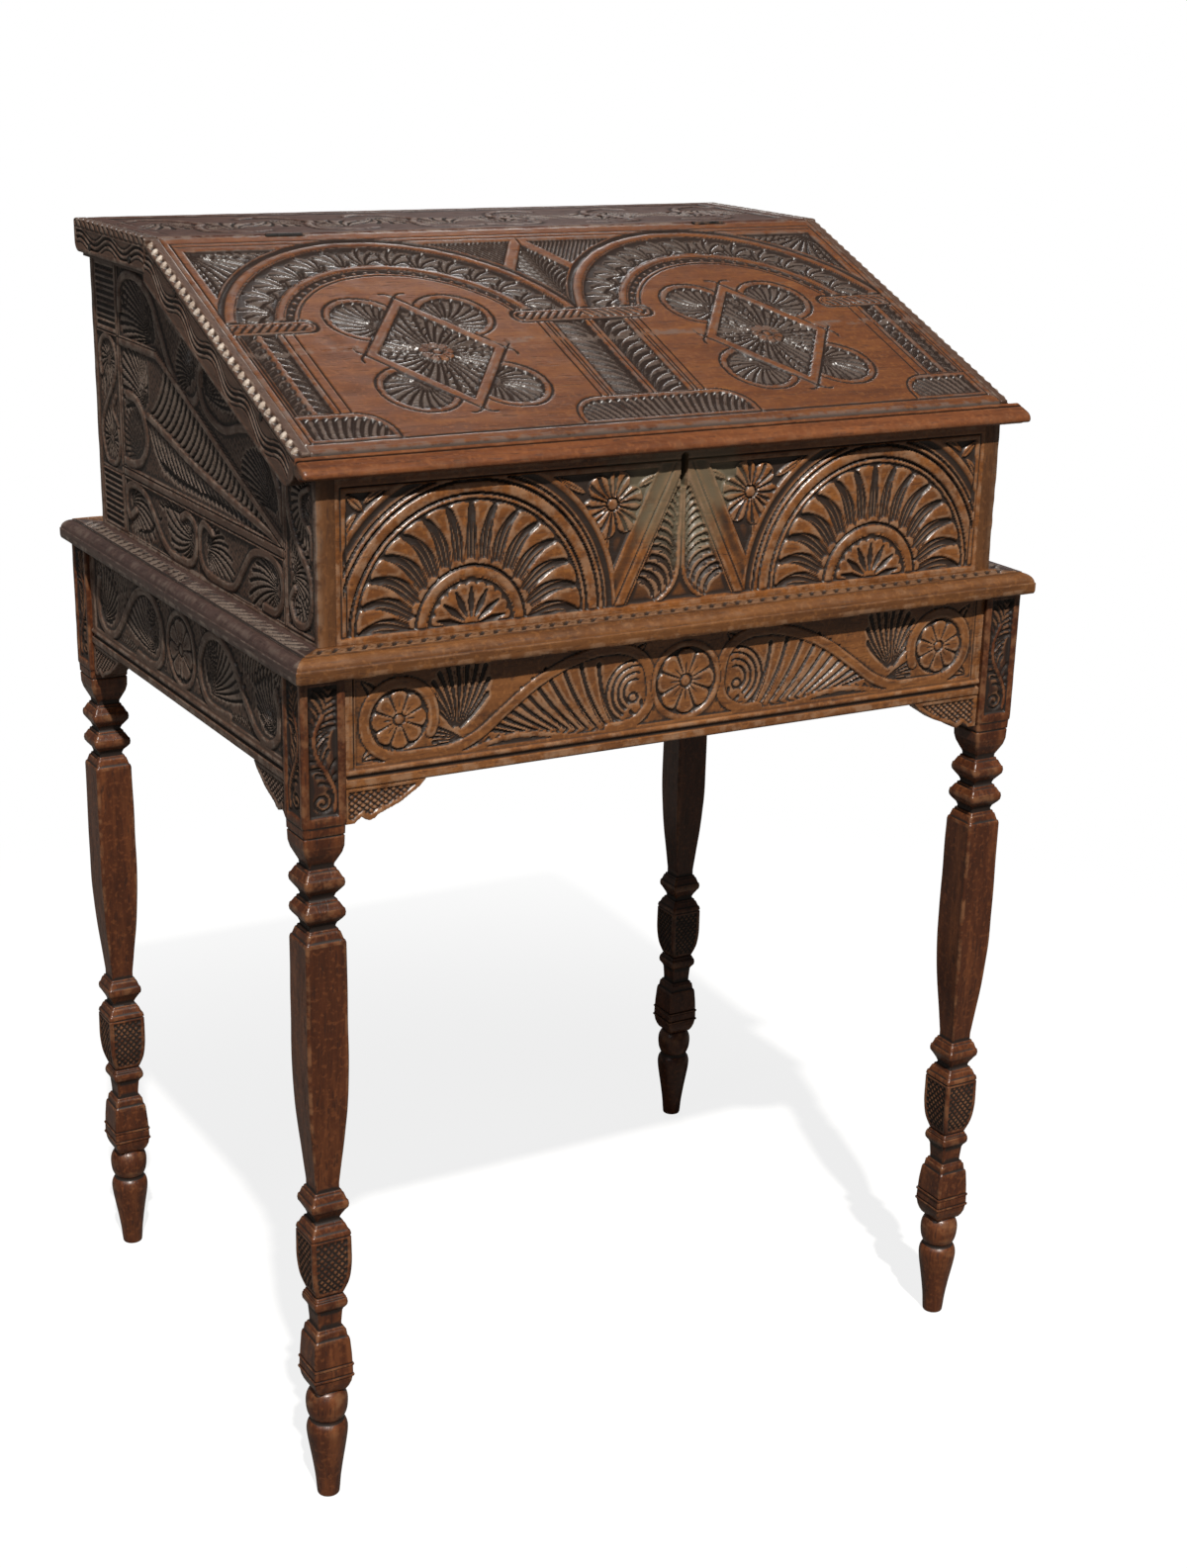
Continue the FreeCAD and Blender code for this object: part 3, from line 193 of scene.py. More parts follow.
class Carving:
    """Depth of the cuts in one face, at every point of its mesh."""

    def __init__(self, u, v, finer=1.0):
        self.u, self.v = u.ravel(), v.ravel()
        self.finer = finer
        self.depth = np.zeros(self.u.size)
        self.base = self.depth.copy()
        self.room = np.ones(self.u.size)

    def away_from(self, centre):
        """Distance from a point, and direction from it in degrees."""
        across, up = self.u - centre[0], self.v - centre[1]
        return np.hypot(across, up), np.degrees(np.arctan2(up, across))

    # Distances inside a shape, positive within it

    def in_circle(self, centre, radius):
        return radius - np.hypot(self.u - centre[0], self.v - centre[1])

    def in_ring(self, centre, outer, inner):
        return np.minimum(self.in_circle(centre, outer), -self.in_circle(centre, inner))

    def in_box(self, low, high):
        return least(self.u - low[0], high[0] - self.u, self.v - low[1], high[1] - self.v)

    def left_of(self, start, end):
        """Distance to the left of the line from start to end."""
        way = np.array(end, float) - start
        way /= np.hypot(*way)
        return way[0] * (self.v - start[1]) - way[1] * (self.u - start[0])

    def in_polygon(self, points):
        """Distance inside a convex outline given anticlockwise."""
        return np.minimum.reduce([self.left_of(a, b) for a, b in zip(points, points[1:] + points[:1])])

    # Where the tools may cut, and what they cut

    def keep_to(self, inside, bevel=1.2):
        self.room = eased(inside / bevel)
        self.base = self.depth.copy()

    def free(self):
        self.room = np.ones(self.u.size)
        self.base = self.depth.copy()

    def deepen(self, near, amount):
        self.depth[near] = np.maximum(self.depth[near], self.base[near] + amount * self.room[near])

    def sink(self, inside, depth, bevel=2.0):
        """Sinks a ground that has sloping walls."""
        self.depth = np.maximum(self.depth, depth * eased(inside / bevel) * self.room)
        self.base = self.depth.copy()

    def sink_field(self, inside, depth, bevel, margin=0.0):
        """Sinks a ground and keeps the tools inside it."""
        self.sink(inside, depth, bevel)
        self.keep_to(inside - margin)

    def blend(self, near, form, share):
        """Turns points of the face into a form, by a share from 0 to 1."""
        self.depth[near] = self.depth[near] * (1 - share) + form * share
        self.base = self.depth.copy()

    def lift(self, inside, level, bevel):
        """Leaves a form standing in a sunk ground, at a level below the face."""
        self.blend(EVERYWHERE, np.minimum(self.depth, level), eased(inside / bevel) * self.room)

    def along(self, path, reach):
        """Mesh points near a path, with their distance, side and run along it."""
        low, high = path.min(axis=0) - reach, path.max(axis=0) + reach
        near = np.nonzero((self.u > low[0]) & (self.u < high[0])
                          & (self.v > low[1]) & (self.v < high[1]))[0]
        u, v = self.u[near], self.v[near]
        best = np.full(near.size, np.inf)
        side = np.zeros(near.size)
        run = np.zeros(near.size)
        done = 0.0
        for start, end in zip(path, path[1:]):
            step = end - start
            length = math.hypot(*step)
            if length == 0:
                continue
            share = held(((u - start[0]) * step[0] + (v - start[1]) * step[1]) / length ** 2)
            away_u = u - start[0] - share * step[0]
            away_v = v - start[1] - share * step[1]
            distance = np.hypot(away_u, away_v)
            closer = distance < best
            best[closer] = distance[closer]
            side[closer] = np.sign(step[0] * away_v - step[1] * away_u)[closer]
            run[closer] = done + share[closer] * length
            done += length
        return near, best, side, run, done

    def groove(self, path, width, depth, start=1.0, end=1.0):
        """Rounded groove along a path. Its start and end are given as shares of its width."""
        near, distance, _, run, length = self.along(path, width)
        half = width / 2 * (start + (end - start) * run / length)
        profile = held(1 - (distance / np.maximum(half, 0.05)) ** 2)
        self.deepen(near, depth * np.sqrt(profile) * np.clip(half / width * 4, 0.35, 1))

    def line(self, start, end, width, depth, *ends):
        """Straight groove."""
        self.groove(np.array([start, end], float), width, depth, *ends)

    def flute(self, root, heading, length, turn, width, depth, *ends):
        """Curved groove that leaves its root on a heading."""
        self.groove(bow(root, heading, length, turn), width, depth, *ends)

    def bead(self, path, width, level, crown):
        """Rounded moulding along a path, its middle at a level and its edges lower by the crown."""
        near, distance, _, _, _ = self.along(path, width)
        share = distance / (width / 2)
        form = level + crown * (1 - np.sqrt(held(1 - share ** 2)))
        self.blend(near, form, self.room[near] * (share < 1))

    def ribbon(self, path, width, level=0.0, line=1.6, cut=1.4):
        """Flat band along a path with a line cut along both its edges."""
        near, distance, _, _, _ = self.along(path, width + line)
        form = np.where(distance < width / 2, level, self.depth[near])
        form = np.maximum(form, (level + cut) * held(1 - np.abs(distance - width / 2) / line * 2))
        self.blend(near, form, self.room[near])

    def rope(self, path, width, pitch, crown, cut):
        """Twisted rope along a path."""
        near, distance, side, run, _ = self.along(path, width)
        share = held(distance / (width / 2))
        twist = np.abs(((run + side * distance * 0.9) / pitch) % 1 * 2 - 1)
        form = crown * (1 - np.sqrt(1 - share ** 2)) + cut * eased((twist - 0.45) / 0.5)
        self.blend(near, form, self.room[near] * (share < 1))

    def lattice(self, inside, pitch, depth, rise):
        """Crossed lines cut over a region."""
        shares = [np.abs(((self.u + sign * self.v / rise) / pitch) % 1 * 2 - 1) for sign in (-1, 1)]
        lines = np.maximum(*[eased((share - 0.45) / 0.5) for share in shares])
        self.depth += depth * lines * eased(inside) * self.room
        self.base = self.depth.copy()

    def flower(self, centre, radius, petals, level, ground, button, start=0.0):
        """Open flower: scooped round petals about a small raised button, in a sunk ground."""
        distance, angle = self.away_from(centre)
        away = distance / radius
        across = np.abs(((angle - start) * petals / FULL_TURN) % 1 * 2 - 1)
        rim = 0.8 + 0.2 * np.sqrt(held(1 - across ** 2))
        scoop = (1 - across ** 2) * held(1 - ((away - 0.62) / 0.36) ** 2)
        form = level + 0.55 * scoop + ground * 0.8 * eased((across - 0.80) / 0.18)
        form += 0.9 * eased((0.10 - across) / 0.08) * eased((0.62 - away) / 0.2)
        boss = button * radius
        form = np.where(distance < boss * 1.35, ground * 0.8, form)
        form = np.where(distance < boss, level * 0.5 + (distance / boss) ** 2, form)
        self.blend(EVERYWHERE, form, eased((rim - away) * radius / 0.8) * self.room)

    def feathers(self, stem, count, lengths, lean, turn, width, depth=1.8, span=(0.0, 1.0)):
        """Row of curved flutes that leave a stem on one side, with lengths that change along it."""
        count, width = round(count * self.finer), width / self.finer
        shares = np.linspace(*span, count)
        reach = np.interp(np.linspace(0, 1, count), np.linspace(0, 1, len(lengths)), lengths)
        for length, (root, heading) in zip(reach, path_spots(stem, shares)):
            self.flute(root, heading + lean, length, turn, width, depth, 0.35)

    def fan(self, root, headings, lengths, turn, width, depth, start, narrow=0.3):
        """Flutes that spread from near one root."""
        marks = np.linspace(0, len(headings) - 1, round(len(headings) * self.finer))
        headings = np.interp(marks, np.arange(len(headings)), headings)
        lengths = np.interp(marks, np.arange(len(lengths)), lengths)
        width = width / self.finer
        for heading, length in zip(headings, lengths):
            begin = np.array(root) + start * turned(heading)
            self.flute(begin, heading, length, turn, width, depth, narrow)

    def even_fan(self, root, first, last, lengths, *cut):
        """Fan with a flute of each length, spread evenly from its first heading to its last."""
        self.fan(root, np.linspace(first, last, len(lengths)), lengths, *cut)


# Meshes

def unevenness(u, v, size, seed):
    """Gentle seeded waves over a face, between about -1 and 1."""
    chance = np.random.default_rng(seed)
    total = np.zeros(np.shape(u))
    for _ in range(WAVE_COUNT):
        way = turned(chance.uniform(0, FULL_TURN)) * chance.uniform(0.6, 1.7) / size
        total += np.sin((u * way[0] + v * way[1]) * math.tau + chance.uniform(0, math.tau))
    return total / WAVE_SCALE


def grid(width, height, step=MESH_STEP):
    """Shares along both sides of a face, fine enough for its carving."""
    across = np.linspace(0, 1, int(width / step) + 1)
    up = np.linspace(0, 1, int(height / step) + 1)
    return np.meshgrid(across, up)


def hand_made(wood, inside, seed):
    """Depth with eased arrises, gentle waves on the face and rougher tool marks in the ground."""
    depth = wood.depth
    depth = depth + 0.16 * np.maximum(unevenness(wood.u, wood.v, 34, seed) + 1, 0)
    depth = depth + 0.20 * unevenness(wood.u, wood.v, 5, seed + 1) * held(depth - 0.8)
    worn = ARRIS_WEAR * (1 + 0.35 * unevenness(wood.u, wood.v, 26, seed + 2))
    return depth + worn * held(1 - inside.ravel() / 1.8) ** 2


def link(name, data):
    """Puts a mesh, a lamp or a camera in the scene."""
    piece = bpy.data.objects.new(name, data)
    bpy.context.scene.collection.objects.link(piece)
    return piece


def prism(outline, sweep):
    """Closed solid from a flat outline, both given in millimetres."""
    return np.array(outline, float) * MM, np.array(sweep, float) * MM


def prism_faces(outline, sweep, first):
    """Points and faces of a closed solid, from a flat outline and its sweep."""
    count = len(outline)
    area = sum(np.cross(a, b) for a, b in zip(outline, np.roll(outline, -1, axis=0)))
    if np.dot(area, sweep) < 0:
        outline = outline[::-1]
    sides = [(first + n, first + (n + 1) % count, first + (n + 1) % count + count, first + n + count)
             for n in range(count)]
    low = [first + n for n in range(count)][::-1]
    high = [first + n + count for n in range(count)]
    return outline.tolist() + (outline + sweep).tolist(), sides + [low, high]


def grid_faces(index):
    """Faces between the rows and columns of a grid of points."""
    return np.stack([index[:-1, :-1], index[:-1, 1:], index[1:, 1:], index[1:, :-1]], -1).reshape(-1, 4)


def tube_faces(index):
    """Faces of a tube made of rings of points, with its two ends."""
    after = np.roll(index, -1, axis=1)
    sides = np.stack([index[:-1], index[1:], after[1:], after[:-1]], -1).reshape(-1, 4)
    return sides.tolist() + [index[0].tolist(), index[-1, ::-1].tolist()]


def closed_piece(name, points, faces):
    """Piece of closed forms, with all their faces turned outward."""
    mesh = bpy.data.meshes.new(name)
    mesh.from_pydata(points, [], faces)
    work = bmesh.new()
    work.from_mesh(mesh)
    bmesh.ops.recalc_face_normals(work, faces=work.faces)
    work.to_mesh(mesh)
    work.free()
    return link(name, mesh)


def slab(name, face, back, depth, solids=()):
    """Closed board from a grid of points on its carved face, the points behind it and plain solids."""
    rows, columns = face.shape[:2]
    index = np.arange(rows * columns).reshape(rows, columns)
    rim = np.concatenate([index[0], index[1:, -1], index[-1, -2::-1], index[-2:0:-1, 0]])
    behind = np.arange(rim.size) + rows * columns
    after = np.roll(np.arange(rim.size), -1)
    walls = np.stack([rim, behind, behind[after], rim[after]], -1)
    points = face.reshape(-1, 3).tolist() + back.reshape(-1, 3)[rim].tolist()
    faces = grid_faces(index).tolist() + walls.tolist() + [behind[::-1].tolist()]
    for outline, sweep in solids:
        more_points, more_faces = prism_faces(outline, sweep, len(points))
        points += more_points
        faces += more_faces
    mesh = bpy.data.meshes.new(name)
    mesh.from_pydata(points, [], faces)
    piece = link(name, mesh)
    finish_mesh(piece, rows * columns)
    store(mesh, "cut", np.concatenate([held(depth / FULL_CUT),
                                       np.zeros(len(points) - rows * columns)]))
    return piece


def store(mesh, name, values):
    if mesh.attributes.get(name):
        mesh.attributes.remove(mesh.attributes[name])
    layer = mesh.attributes.new(name, "FLOAT", "POINT")
    layer.data.foreach_set("value", values.astype(np.float32))


def triples(items, name):
    """One point or direction of every vertex or face of a mesh."""
    values = np.zeros(len(items) * 3)
    items.foreach_get(name, values)
    return values.reshape(-1, 3)


def finish_mesh(piece, fine=None):
    """Smooth shading with crisp corners, and how far each point stands out or lies in a hollow."""
    mesh = piece.data
    mesh.shade_smooth()
    mesh.set_sharp_from_angle(angle=math.radians(CRISP_ANGLE))
    size = len(mesh.vertices)
    points, normals = triples(mesh.vertices, "co"), triples(mesh.vertices, "normal")
    edges = np.zeros(len(mesh.edges) * 2, int)
    mesh.edges.foreach_get("vertices", edges)
    starts = np.concatenate([edges[::2], edges[1::2]])
    ends = np.concatenate([edges[1::2], edges[::2]])
    number = np.maximum(np.bincount(starts, minlength=size), 1)
    even = points
    for _ in range(SMOOTH_ROUNDS):
        even = np.stack([np.bincount(starts, even[ends, axis], size) / number for axis in range(3)], -1)
    proud = ((points - even) * normals).sum(axis=1) / (FULLY_PROUD * MM)
    proud[fine or size:] = 0
    store(mesh, "proud", held(proud))
    store(mesh, "hollow", held(-proud))


def remeshed(node, size):
    """Finely meshed copy of a node of the model, for carving or for pale edges of wear and painted highlight.
    """
    piece = link(node + "_worked", nodes[node].data.copy())
    piece.data.materials.clear()
    modifier = piece.modifiers.new("fine", "REMESH")
    modifier.mode = "VOXEL"
    modifier.voxel_size = size * MM
    modifier.use_smooth_shade = True
    view = bpy.context.evaluated_depsgraph_get()
    mesh = bpy.data.meshes.new_from_object(piece.evaluated_get(view))
    piece.modifiers.clear()
    old = piece.data
    piece.data = mesh
    bpy.data.meshes.remove(old)
    return piece


# Materials

class Socket:
    """Shader value that adds its own Math nodes when it is used in an expression."""

    def __init__(self, shader, output):
        self.shader, self.output = shader, output

    def maths(self, operation, *values):
        return self.shader.add("Math", {"operation": operation}, dict(enumerate(values)))

    def __add__(self, other):
        return self.maths("ADD", self, other)

    def __sub__(self, other):
        return self.maths("SUBTRACT", self, other)

    def __rsub__(self, other):
        return self.maths("SUBTRACT", other, self)

    def __mul__(self, other):
        return self.maths("MULTIPLY", self, other)

    __radd__ = __add__
    __rmul__ = __mul__


class Shader:
    """Nodes of one finish, or of the room's light."""

    def __init__(self, owner):
        self.material = owner
        owner.use_nodes = True
        self.tree = owner.node_tree
        self.tree.nodes.clear()

    def add(self, kind, settings, inputs, output=0):
        """Adds a node: its settings first, then the values or links of its sockets."""
        node = self.tree.nodes.new("ShaderNode" + kind)
        for name, value in settings.items():
            if name == "stops":
                for element in list(node.color_ramp.elements)[1:]:
                    node.color_ramp.elements.remove(element)
                node.color_ramp.elements[0].position = value[0][0]
                node.color_ramp.elements[0].color = (*value[0][1], 1)
                for place, colour in value[1:]:
                    node.color_ramp.elements.new(place).color = (*colour, 1)
            else:
                setattr(node, name, value)
        for name, value in inputs.items():
            if isinstance(value, Socket):
                self.tree.links.new(value.output, node.inputs[name])
            else:
                node.inputs[name].default_value = value
        return Socket(self, node.outputs[output]) if node.outputs else None

    def within(self, value, low, high):
        """How far a value is from low to high, from 0 to 1."""
        return self.add("MapRange", {"interpolation_type": "SMOOTHSTEP"},
                        {"Value": value, "From Min": low, "From Max": high})

    def mixed(self, first, second, share):
        """Mixes two colours."""
        colours = [value if isinstance(value, Socket) else (*value, 1) for value in (first, second)]
        return self.add("Mix", {"data_type": "RGBA"}, {0: share, 6: colours[0], 7: colours[1]}, 2)

    def noise(self, place, scale, detail=4.0, rough=0.6, twist=0.0):
        return self.add("TexNoise", {}, {"Vector": place, "Scale": scale, "Detail": detail,
                                         "Roughness": rough, "Distortion": twist})

    def mark(self, name):
        return self.add("Attribute", {"attribute_name": name}, {}, "Fac")

    def surface(self, values):
        shader = self.add("BsdfPrincipled", {}, values)
        self.add("OutputMaterial", {}, {"Surface": shader})
        return self.material


def oak(name, dark, brown, light, grime_and_shade, shine, along="x", polish=0.40, dull=0.22, deep=(0.10, 0.84),
        rub_and_highlight=0.5, gloss=0.38, worn=None):
    """Old waxed oak: streaked grain, open pores, grime and painted shade in the cuts,
    pale edges that are partly wear and partly painted highlight, and a worn place.
    """
    shader = Shader(bpy.data.materials.new(name))
    place = shader.add("TexCoord", {}, {}, "Object")
    stretch = {"x": (1, 9, 9), "y": (9, 1, 9), "z": (9, 9, 1)}[along]
    fine = {"x": (60, 460, 460), "y": (460, 60, 460), "z": (460, 460, 60)}[along]
    grain_place = shader.add("VectorMath", {"operation": "MULTIPLY"}, {0: place, 1: stretch})
    pore_place = shader.add("VectorMath", {"operation": "MULTIPLY"}, {0: place, 1: fine})
    streaks = shader.noise(grain_place, 9.0, 8.0, 0.68, 0.35)
    threads = shader.noise(grain_place, 52.0, 3.0, 0.6)
    pores = shader.within(shader.noise(pore_place, 1.0, 2.0, 0.5), 0.56, 0.70)
    patches = shader.noise(place, 5.5, 4.0, 0.6)
    blotches = shader.noise(place, 26.0, 3.0, 0.6)
    cut, hollow, proud = (shader.mark(mark) for mark in ("cut", "hollow", "proud"))
    wood = shader.add("ValToRGB", {"stops": [(0.30, dark), (0.50, brown), (0.72, light)]},
                      {"Fac": streaks * 0.62 + patches * 0.23 + threads * 0.15})
    wood = shader.mixed(wood, dark, pores * 0.6)
    wood = shader.mixed(wood, GRIME_AND_SHADE, shader.within(threads, 0.60, 0.74) * 0.55)
    wood = shader.mixed(wood, dark, shader.within(blotches, 0.52, 0.75) * 0.35)
    mottle = shader.within(shader.noise(place, 230.0, 2.0, 0.5), 0.52, 0.68)
    wood = shader.mixed(wood, light, mottle * 0.4)
    # Cuts and hollows darken toward the grime colour: partly grime, partly painted shade where carving falls
    # into shadow.
    dirt_and_shade = shader.within(cut * 0.82 + hollow * 0.7, *deep)
    wood = shader.mixed(wood, grime_and_shade, dirt_and_shade * 0.94)
    if worn:
        centre, reach = worn
        away = shader.add("VectorMath", {"operation": "DISTANCE"}, {0: place, 1: centre}, "Value")
        bare = shader.within(blotches * 1.1 + (1 - away * (1 / reach)), 0.75, 1.15)
        wood = shader.mixed(wood, WORN, bare * 0.7)
    flecks = shader.noise(place, 85.0, 3.0, 0.6)
    # Proud edges and ridges pale toward the shine colour: partly wear, partly painted highlight.
    rubbed_and_lit = shader.within(proud, 0.38, 1.0) * shader.within(flecks + cut * 0.3, 0.42, 0.66)
    wood = shader.mixed(wood, shine, rubbed_and_lit * rub_and_highlight)
    rough = polish + dirt_and_shade * dull - rubbed_and_lit * 0.10 + pores * 0.15
    height = streaks * 0.35 - pores * 0.5 + shader.noise(place, 300.0, 3.0) * 0.35
    bump = shader.add("Bump", {}, {"Strength": 0.35, "Distance": 0.0004, "Height": height})
    return shader.surface({"Base Color": wood, "Roughness": rough, "Normal": bump,
                           "Specular IOR Level": gloss, "Coat Weight": 0.06, "Coat Roughness": 0.2})


def iron(name):
    """Dark wrought iron with a little rust."""
    shader = Shader(bpy.data.materials.new(name))
    place = shader.add("TexCoord", {}, {}, "Object")
    rust = shader.within(shader.noise(place, 160.0, 5.0), 0.5, 0.66)
    metal = shader.mixed((0.045, 0.042, 0.040), (0.12, 0.055, 0.028), rust * 0.8)
    bump = shader.add("Bump", {}, {"Strength": 0.4, "Distance": 0.0003,
                                   "Height": shader.noise(place, 420.0, 4.0)})
    return shader.surface({"Base Color": metal, "Metallic": 1 - rust * 0.7,
                           "Roughness": 0.45 + rust * 0.35, "Normal": bump})


# Grime colours: mixed into cuts and hollows they are grime and painted shade at once; the first also darkens
# the grain's threads.
GRIME_AND_SHADE = (0.0105, 0.0072, 0.0058)
WORN = (0.135, 0.112, 0.07)
KEYHOLE_UP = 104.0
KEYHOLE_PLACE = (0.0, BOX_FRONT * MM, (BOX_FLOOR + KEYHOLE_UP) * MM)
# Pale colours for proud edges and ridges: partly wear, partly painted highlight.
PALE = (0.30, 0.185, 0.115)
GREY_PALE = (0.20, 0.155, 0.125)
LID_GRIME_AND_SHADE = (0.016, 0.012, 0.0105)
LID_PALE = (0.125, 0.095, 0.080)
SIDE_GRIME_AND_SHADE = (0.014, 0.010, 0.008)
LEG_PALE = (0.22, 0.105, 0.05)
finishes = {
    "lid_oak": oak("lid_oak_finish", (0.044, 0.014, 0.006), (0.110, 0.036, 0.012),
                   (0.19, 0.072, 0.020), LID_GRIME_AND_SHADE, LID_PALE, polish=0.46, dull=-0.10, deep=(0.04, 0.50),
                   rub_and_highlight=0.6),
    "nosing_oak": oak("nosing_oak_finish", (0.046, 0.015, 0.007), (0.125, 0.040, 0.014),
                      (0.21, 0.074, 0.025), GRIME_AND_SHADE, PALE, rub_and_highlight=0.12),
    "box_oak": oak("box_oak_finish", (0.066, 0.023, 0.008), (0.155, 0.055, 0.015),
                   (0.28, 0.106, 0.027), GRIME_AND_SHADE, PALE, polish=0.33, deep=(0.14, 0.88), gloss=0.5,
                   worn=(KEYHOLE_PLACE, 0.085)),
    "stile_oak": oak("stile_oak_finish", (0.050, 0.020, 0.009), (0.105, 0.043, 0.016),
                     (0.17, 0.072, 0.027), GRIME_AND_SHADE, PALE, "z", rub_and_highlight=0.35),
    # Darker, greyer copies of the oak for faces turned to the sides: painted shade.
    "side_oak": oak("side_oak_shaded_finish", (0.034, 0.018, 0.012), (0.068, 0.036, 0.024),
                    (0.105, 0.059, 0.040), SIDE_GRIME_AND_SHADE, GREY_PALE, "y", 0.45, deep=(0.36, 0.95)),
    "apron_oak": oak("apron_oak_finish", (0.056, 0.020, 0.008), (0.150, 0.057, 0.018),
                     (0.28, 0.115, 0.036), GRIME_AND_SHADE, PALE, polish=0.34, deep=(0.26, 0.92), gloss=0.5),
    "side_apron_oak": oak("side_apron_shaded_finish", (0.034, 0.018, 0.012), (0.070, 0.038, 0.025),
                          (0.108, 0.061, 0.041), SIDE_GRIME_AND_SHADE, GREY_PALE, "y", 0.45, deep=(0.36, 0.95)),
    "top_oak": oak("top_oak_finish", (0.048, 0.018, 0.007), (0.118, 0.046, 0.015),
                   (0.21, 0.088, 0.028), GRIME_AND_SHADE, PALE, rub_and_highlight=0.35),
    # Darker copy of the top's finish for its arms past the mitres: painted shade.
    "top_side_oak": oak("top_side_shaded_finish", (0.026, 0.015, 0.013), (0.048, 0.028, 0.024),
                        (0.080, 0.048, 0.038), GRIME_AND_SHADE, GREY_PALE, "y", 0.42, rub_and_highlight=0.6),
    "leg_oak": oak("leg_oak_finish", (0.018, 0.006, 0.0035), (0.062, 0.018, 0.007),
                   (0.165, 0.054, 0.018), GRIME_AND_SHADE, LEG_PALE, "z", 0.36, deep=(0.03, 0.5)),
    "inner_oak": oak("inner_oak_finish", (0.09, 0.045, 0.022), (0.17, 0.09, 0.047),
                     (0.25, 0.145, 0.08), GRIME_AND_SHADE, PALE, "x", 0.7),
    "peg_oak": oak("peg_oak_finish", (0.05, 0.018, 0.007), (0.12, 0.043, 0.014),
                   (0.21, 0.08, 0.025), GRIME_AND_SHADE, PALE),
    "ledge_oak": oak("ledge_oak_finish", (0.026, 0.012, 0.010), (0.054, 0.023, 0.016),
                     (0.095, 0.042, 0.026), GRIME_AND_SHADE, GREY_PALE, "x", 0.68, gloss=0.14),
    # Pale, bright beads: a painted highlight, the glint the beads catch, over their brown oak.
    "bead_oak": oak("bead_highlight_finish", (0.11, 0.07, 0.048), (0.27, 0.205, 0.16),
                    (0.46, 0.38, 0.31), GRIME_AND_SHADE, (0.75, 0.68, 0.6), "y", 0.20, deep=(0.04, 0.7), gloss=0.6),
    "iron": iron("iron_finish"),
}


def finish_some(piece, finish, chosen):
    """Gives the chosen faces of a piece a finish of their own."""
    piece.data.materials.append(finishes[finish])
    piece.data.polygons.foreach_set("material_index", chosen.astype(np.int32))


def dress(piece, finish, body, slot, *replaced):
    """Gives a piece its finish, its body and the nodes it stands for."""
    piece.data.materials.clear()
    piece.data.materials.append(finishes[finish])
    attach(piece, body)
    if replaced:
        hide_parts(*replaced)
    return piece


# The lid. Its carving is laid out from the middle of its width, and up from the front edge.

ARCH_MIDDLE = (158.0, 158.6)
ARCH_CLEAR, ARCH_RIM, ARCH_OUTER, ARCH_INNER, ARCH_LINE = 166.5, 163.5, 157.2, 117.0, 102.5
ARCH_BAND = (153.0, 120.0)
ARCH_HOLLOW, ARCH_DASHES = (113.2, 105.0), 109.0
SPRING = 195.0
PILASTER_TOP = 176.5
PILASTER_FOOT = 57.0
BASE_FOOT = 18.5
PANEL_TOP = 318.5
PANEL_SIDE = 315.0
LOZENGE_MIDDLE = (158.0, 138.0)
LOZENGE_OUTER = (63.0, 87.0)
LOZENGE_INNER = (52.5, 73.5)
LOBE_PLACE = (40.0, 54.0)
LOBE_RADIUS = 34.5


def in_lozenge(wood, middle, half):
    """Distance inside a lozenge of two half diagonals."""
    across = np.abs(wood.u - middle[0]) / half[0] + np.abs(wood.v - middle[1]) / half[1]
    return (1 - across) * half[0] * half[1] / math.hypot(*half)


def carve_arch(wood):
    """Half round arch: outer moulding, band of curled leaves, inner moulding and dashed hollow."""
    above = np.minimum(wood.v - SPRING, wood.u)
    wood.keep_to(above + 1.0, 1.0)
    wood.groove(half_ring(ARCH_MIDDLE, ARCH_RIM), 6.0, 1.8)
    wood.sink(wood.in_ring(ARCH_MIDDLE, *ARCH_BAND), 1.5)
    wood.bead(half_ring(ARCH_MIDDLE, ARCH_OUTER), 8.6, 0.0, 1.5)
    wood.bead(half_ring(ARCH_MIDDLE, ARCH_INNER), 6.6, 0.1, 1.3)
    wood.sink(wood.in_ring(ARCH_MIDDLE, *ARCH_HOLLOW), 1.7, 1.5)
    for angle in np.arange(8, 175, 5.6):
        wood.lift(wood.in_circle(np.array(ARCH_MIDDLE) + ARCH_DASHES * turned(angle), 2.9), 0.5, 1.8)
    wood.groove(half_ring(ARCH_MIDDLE, ARCH_LINE), 1.8, 0.8)
    outer, inner = ARCH_BAND
    wood.keep_to(np.minimum(wood.in_ring(ARCH_MIDDLE, outer - 0.5, inner + 0.5), above))
    for angle in np.linspace(13, 167, 15):
        lean = 1 if angle < 90 else -1
        root = np.array(ARCH_MIDDLE) + (inner + 2) * turned(angle)
        wood.fan(root, angle + lean * np.array([78, 48, 20, -8, -36]), (13, 22, 27, 25, 18), -lean * 52,
                 3.6, 1.9, 1.5)
        wood.groove(ring(root + 4.5 * turned(angle + lean * 80), 2.6, 10), 1.8, 1.4)
    wood.free()


def carve_capital(wood, low, high):
    """Twisted cushion on top of a pilaster, with rounded ends."""
    middle = (PILASTER_TOP + SPRING) / 2
    half = (SPRING - PILASTER_TOP) / 2
    path = np.array([[low + half, middle], [high - half, middle]])
    near, distance, _, _, _ = wood.along(path, half + 4)
    wood.deepen(near, 1.9 * eased((half + 2.4 - distance) / 1.6))
    wood.free()
    wood.ribbon(path, 2 * half - 2.0, 0.2, 1.0, 0.8)
    wood.rope(path, 2 * half - 6.5, 7.5, 1.1, 1.5)


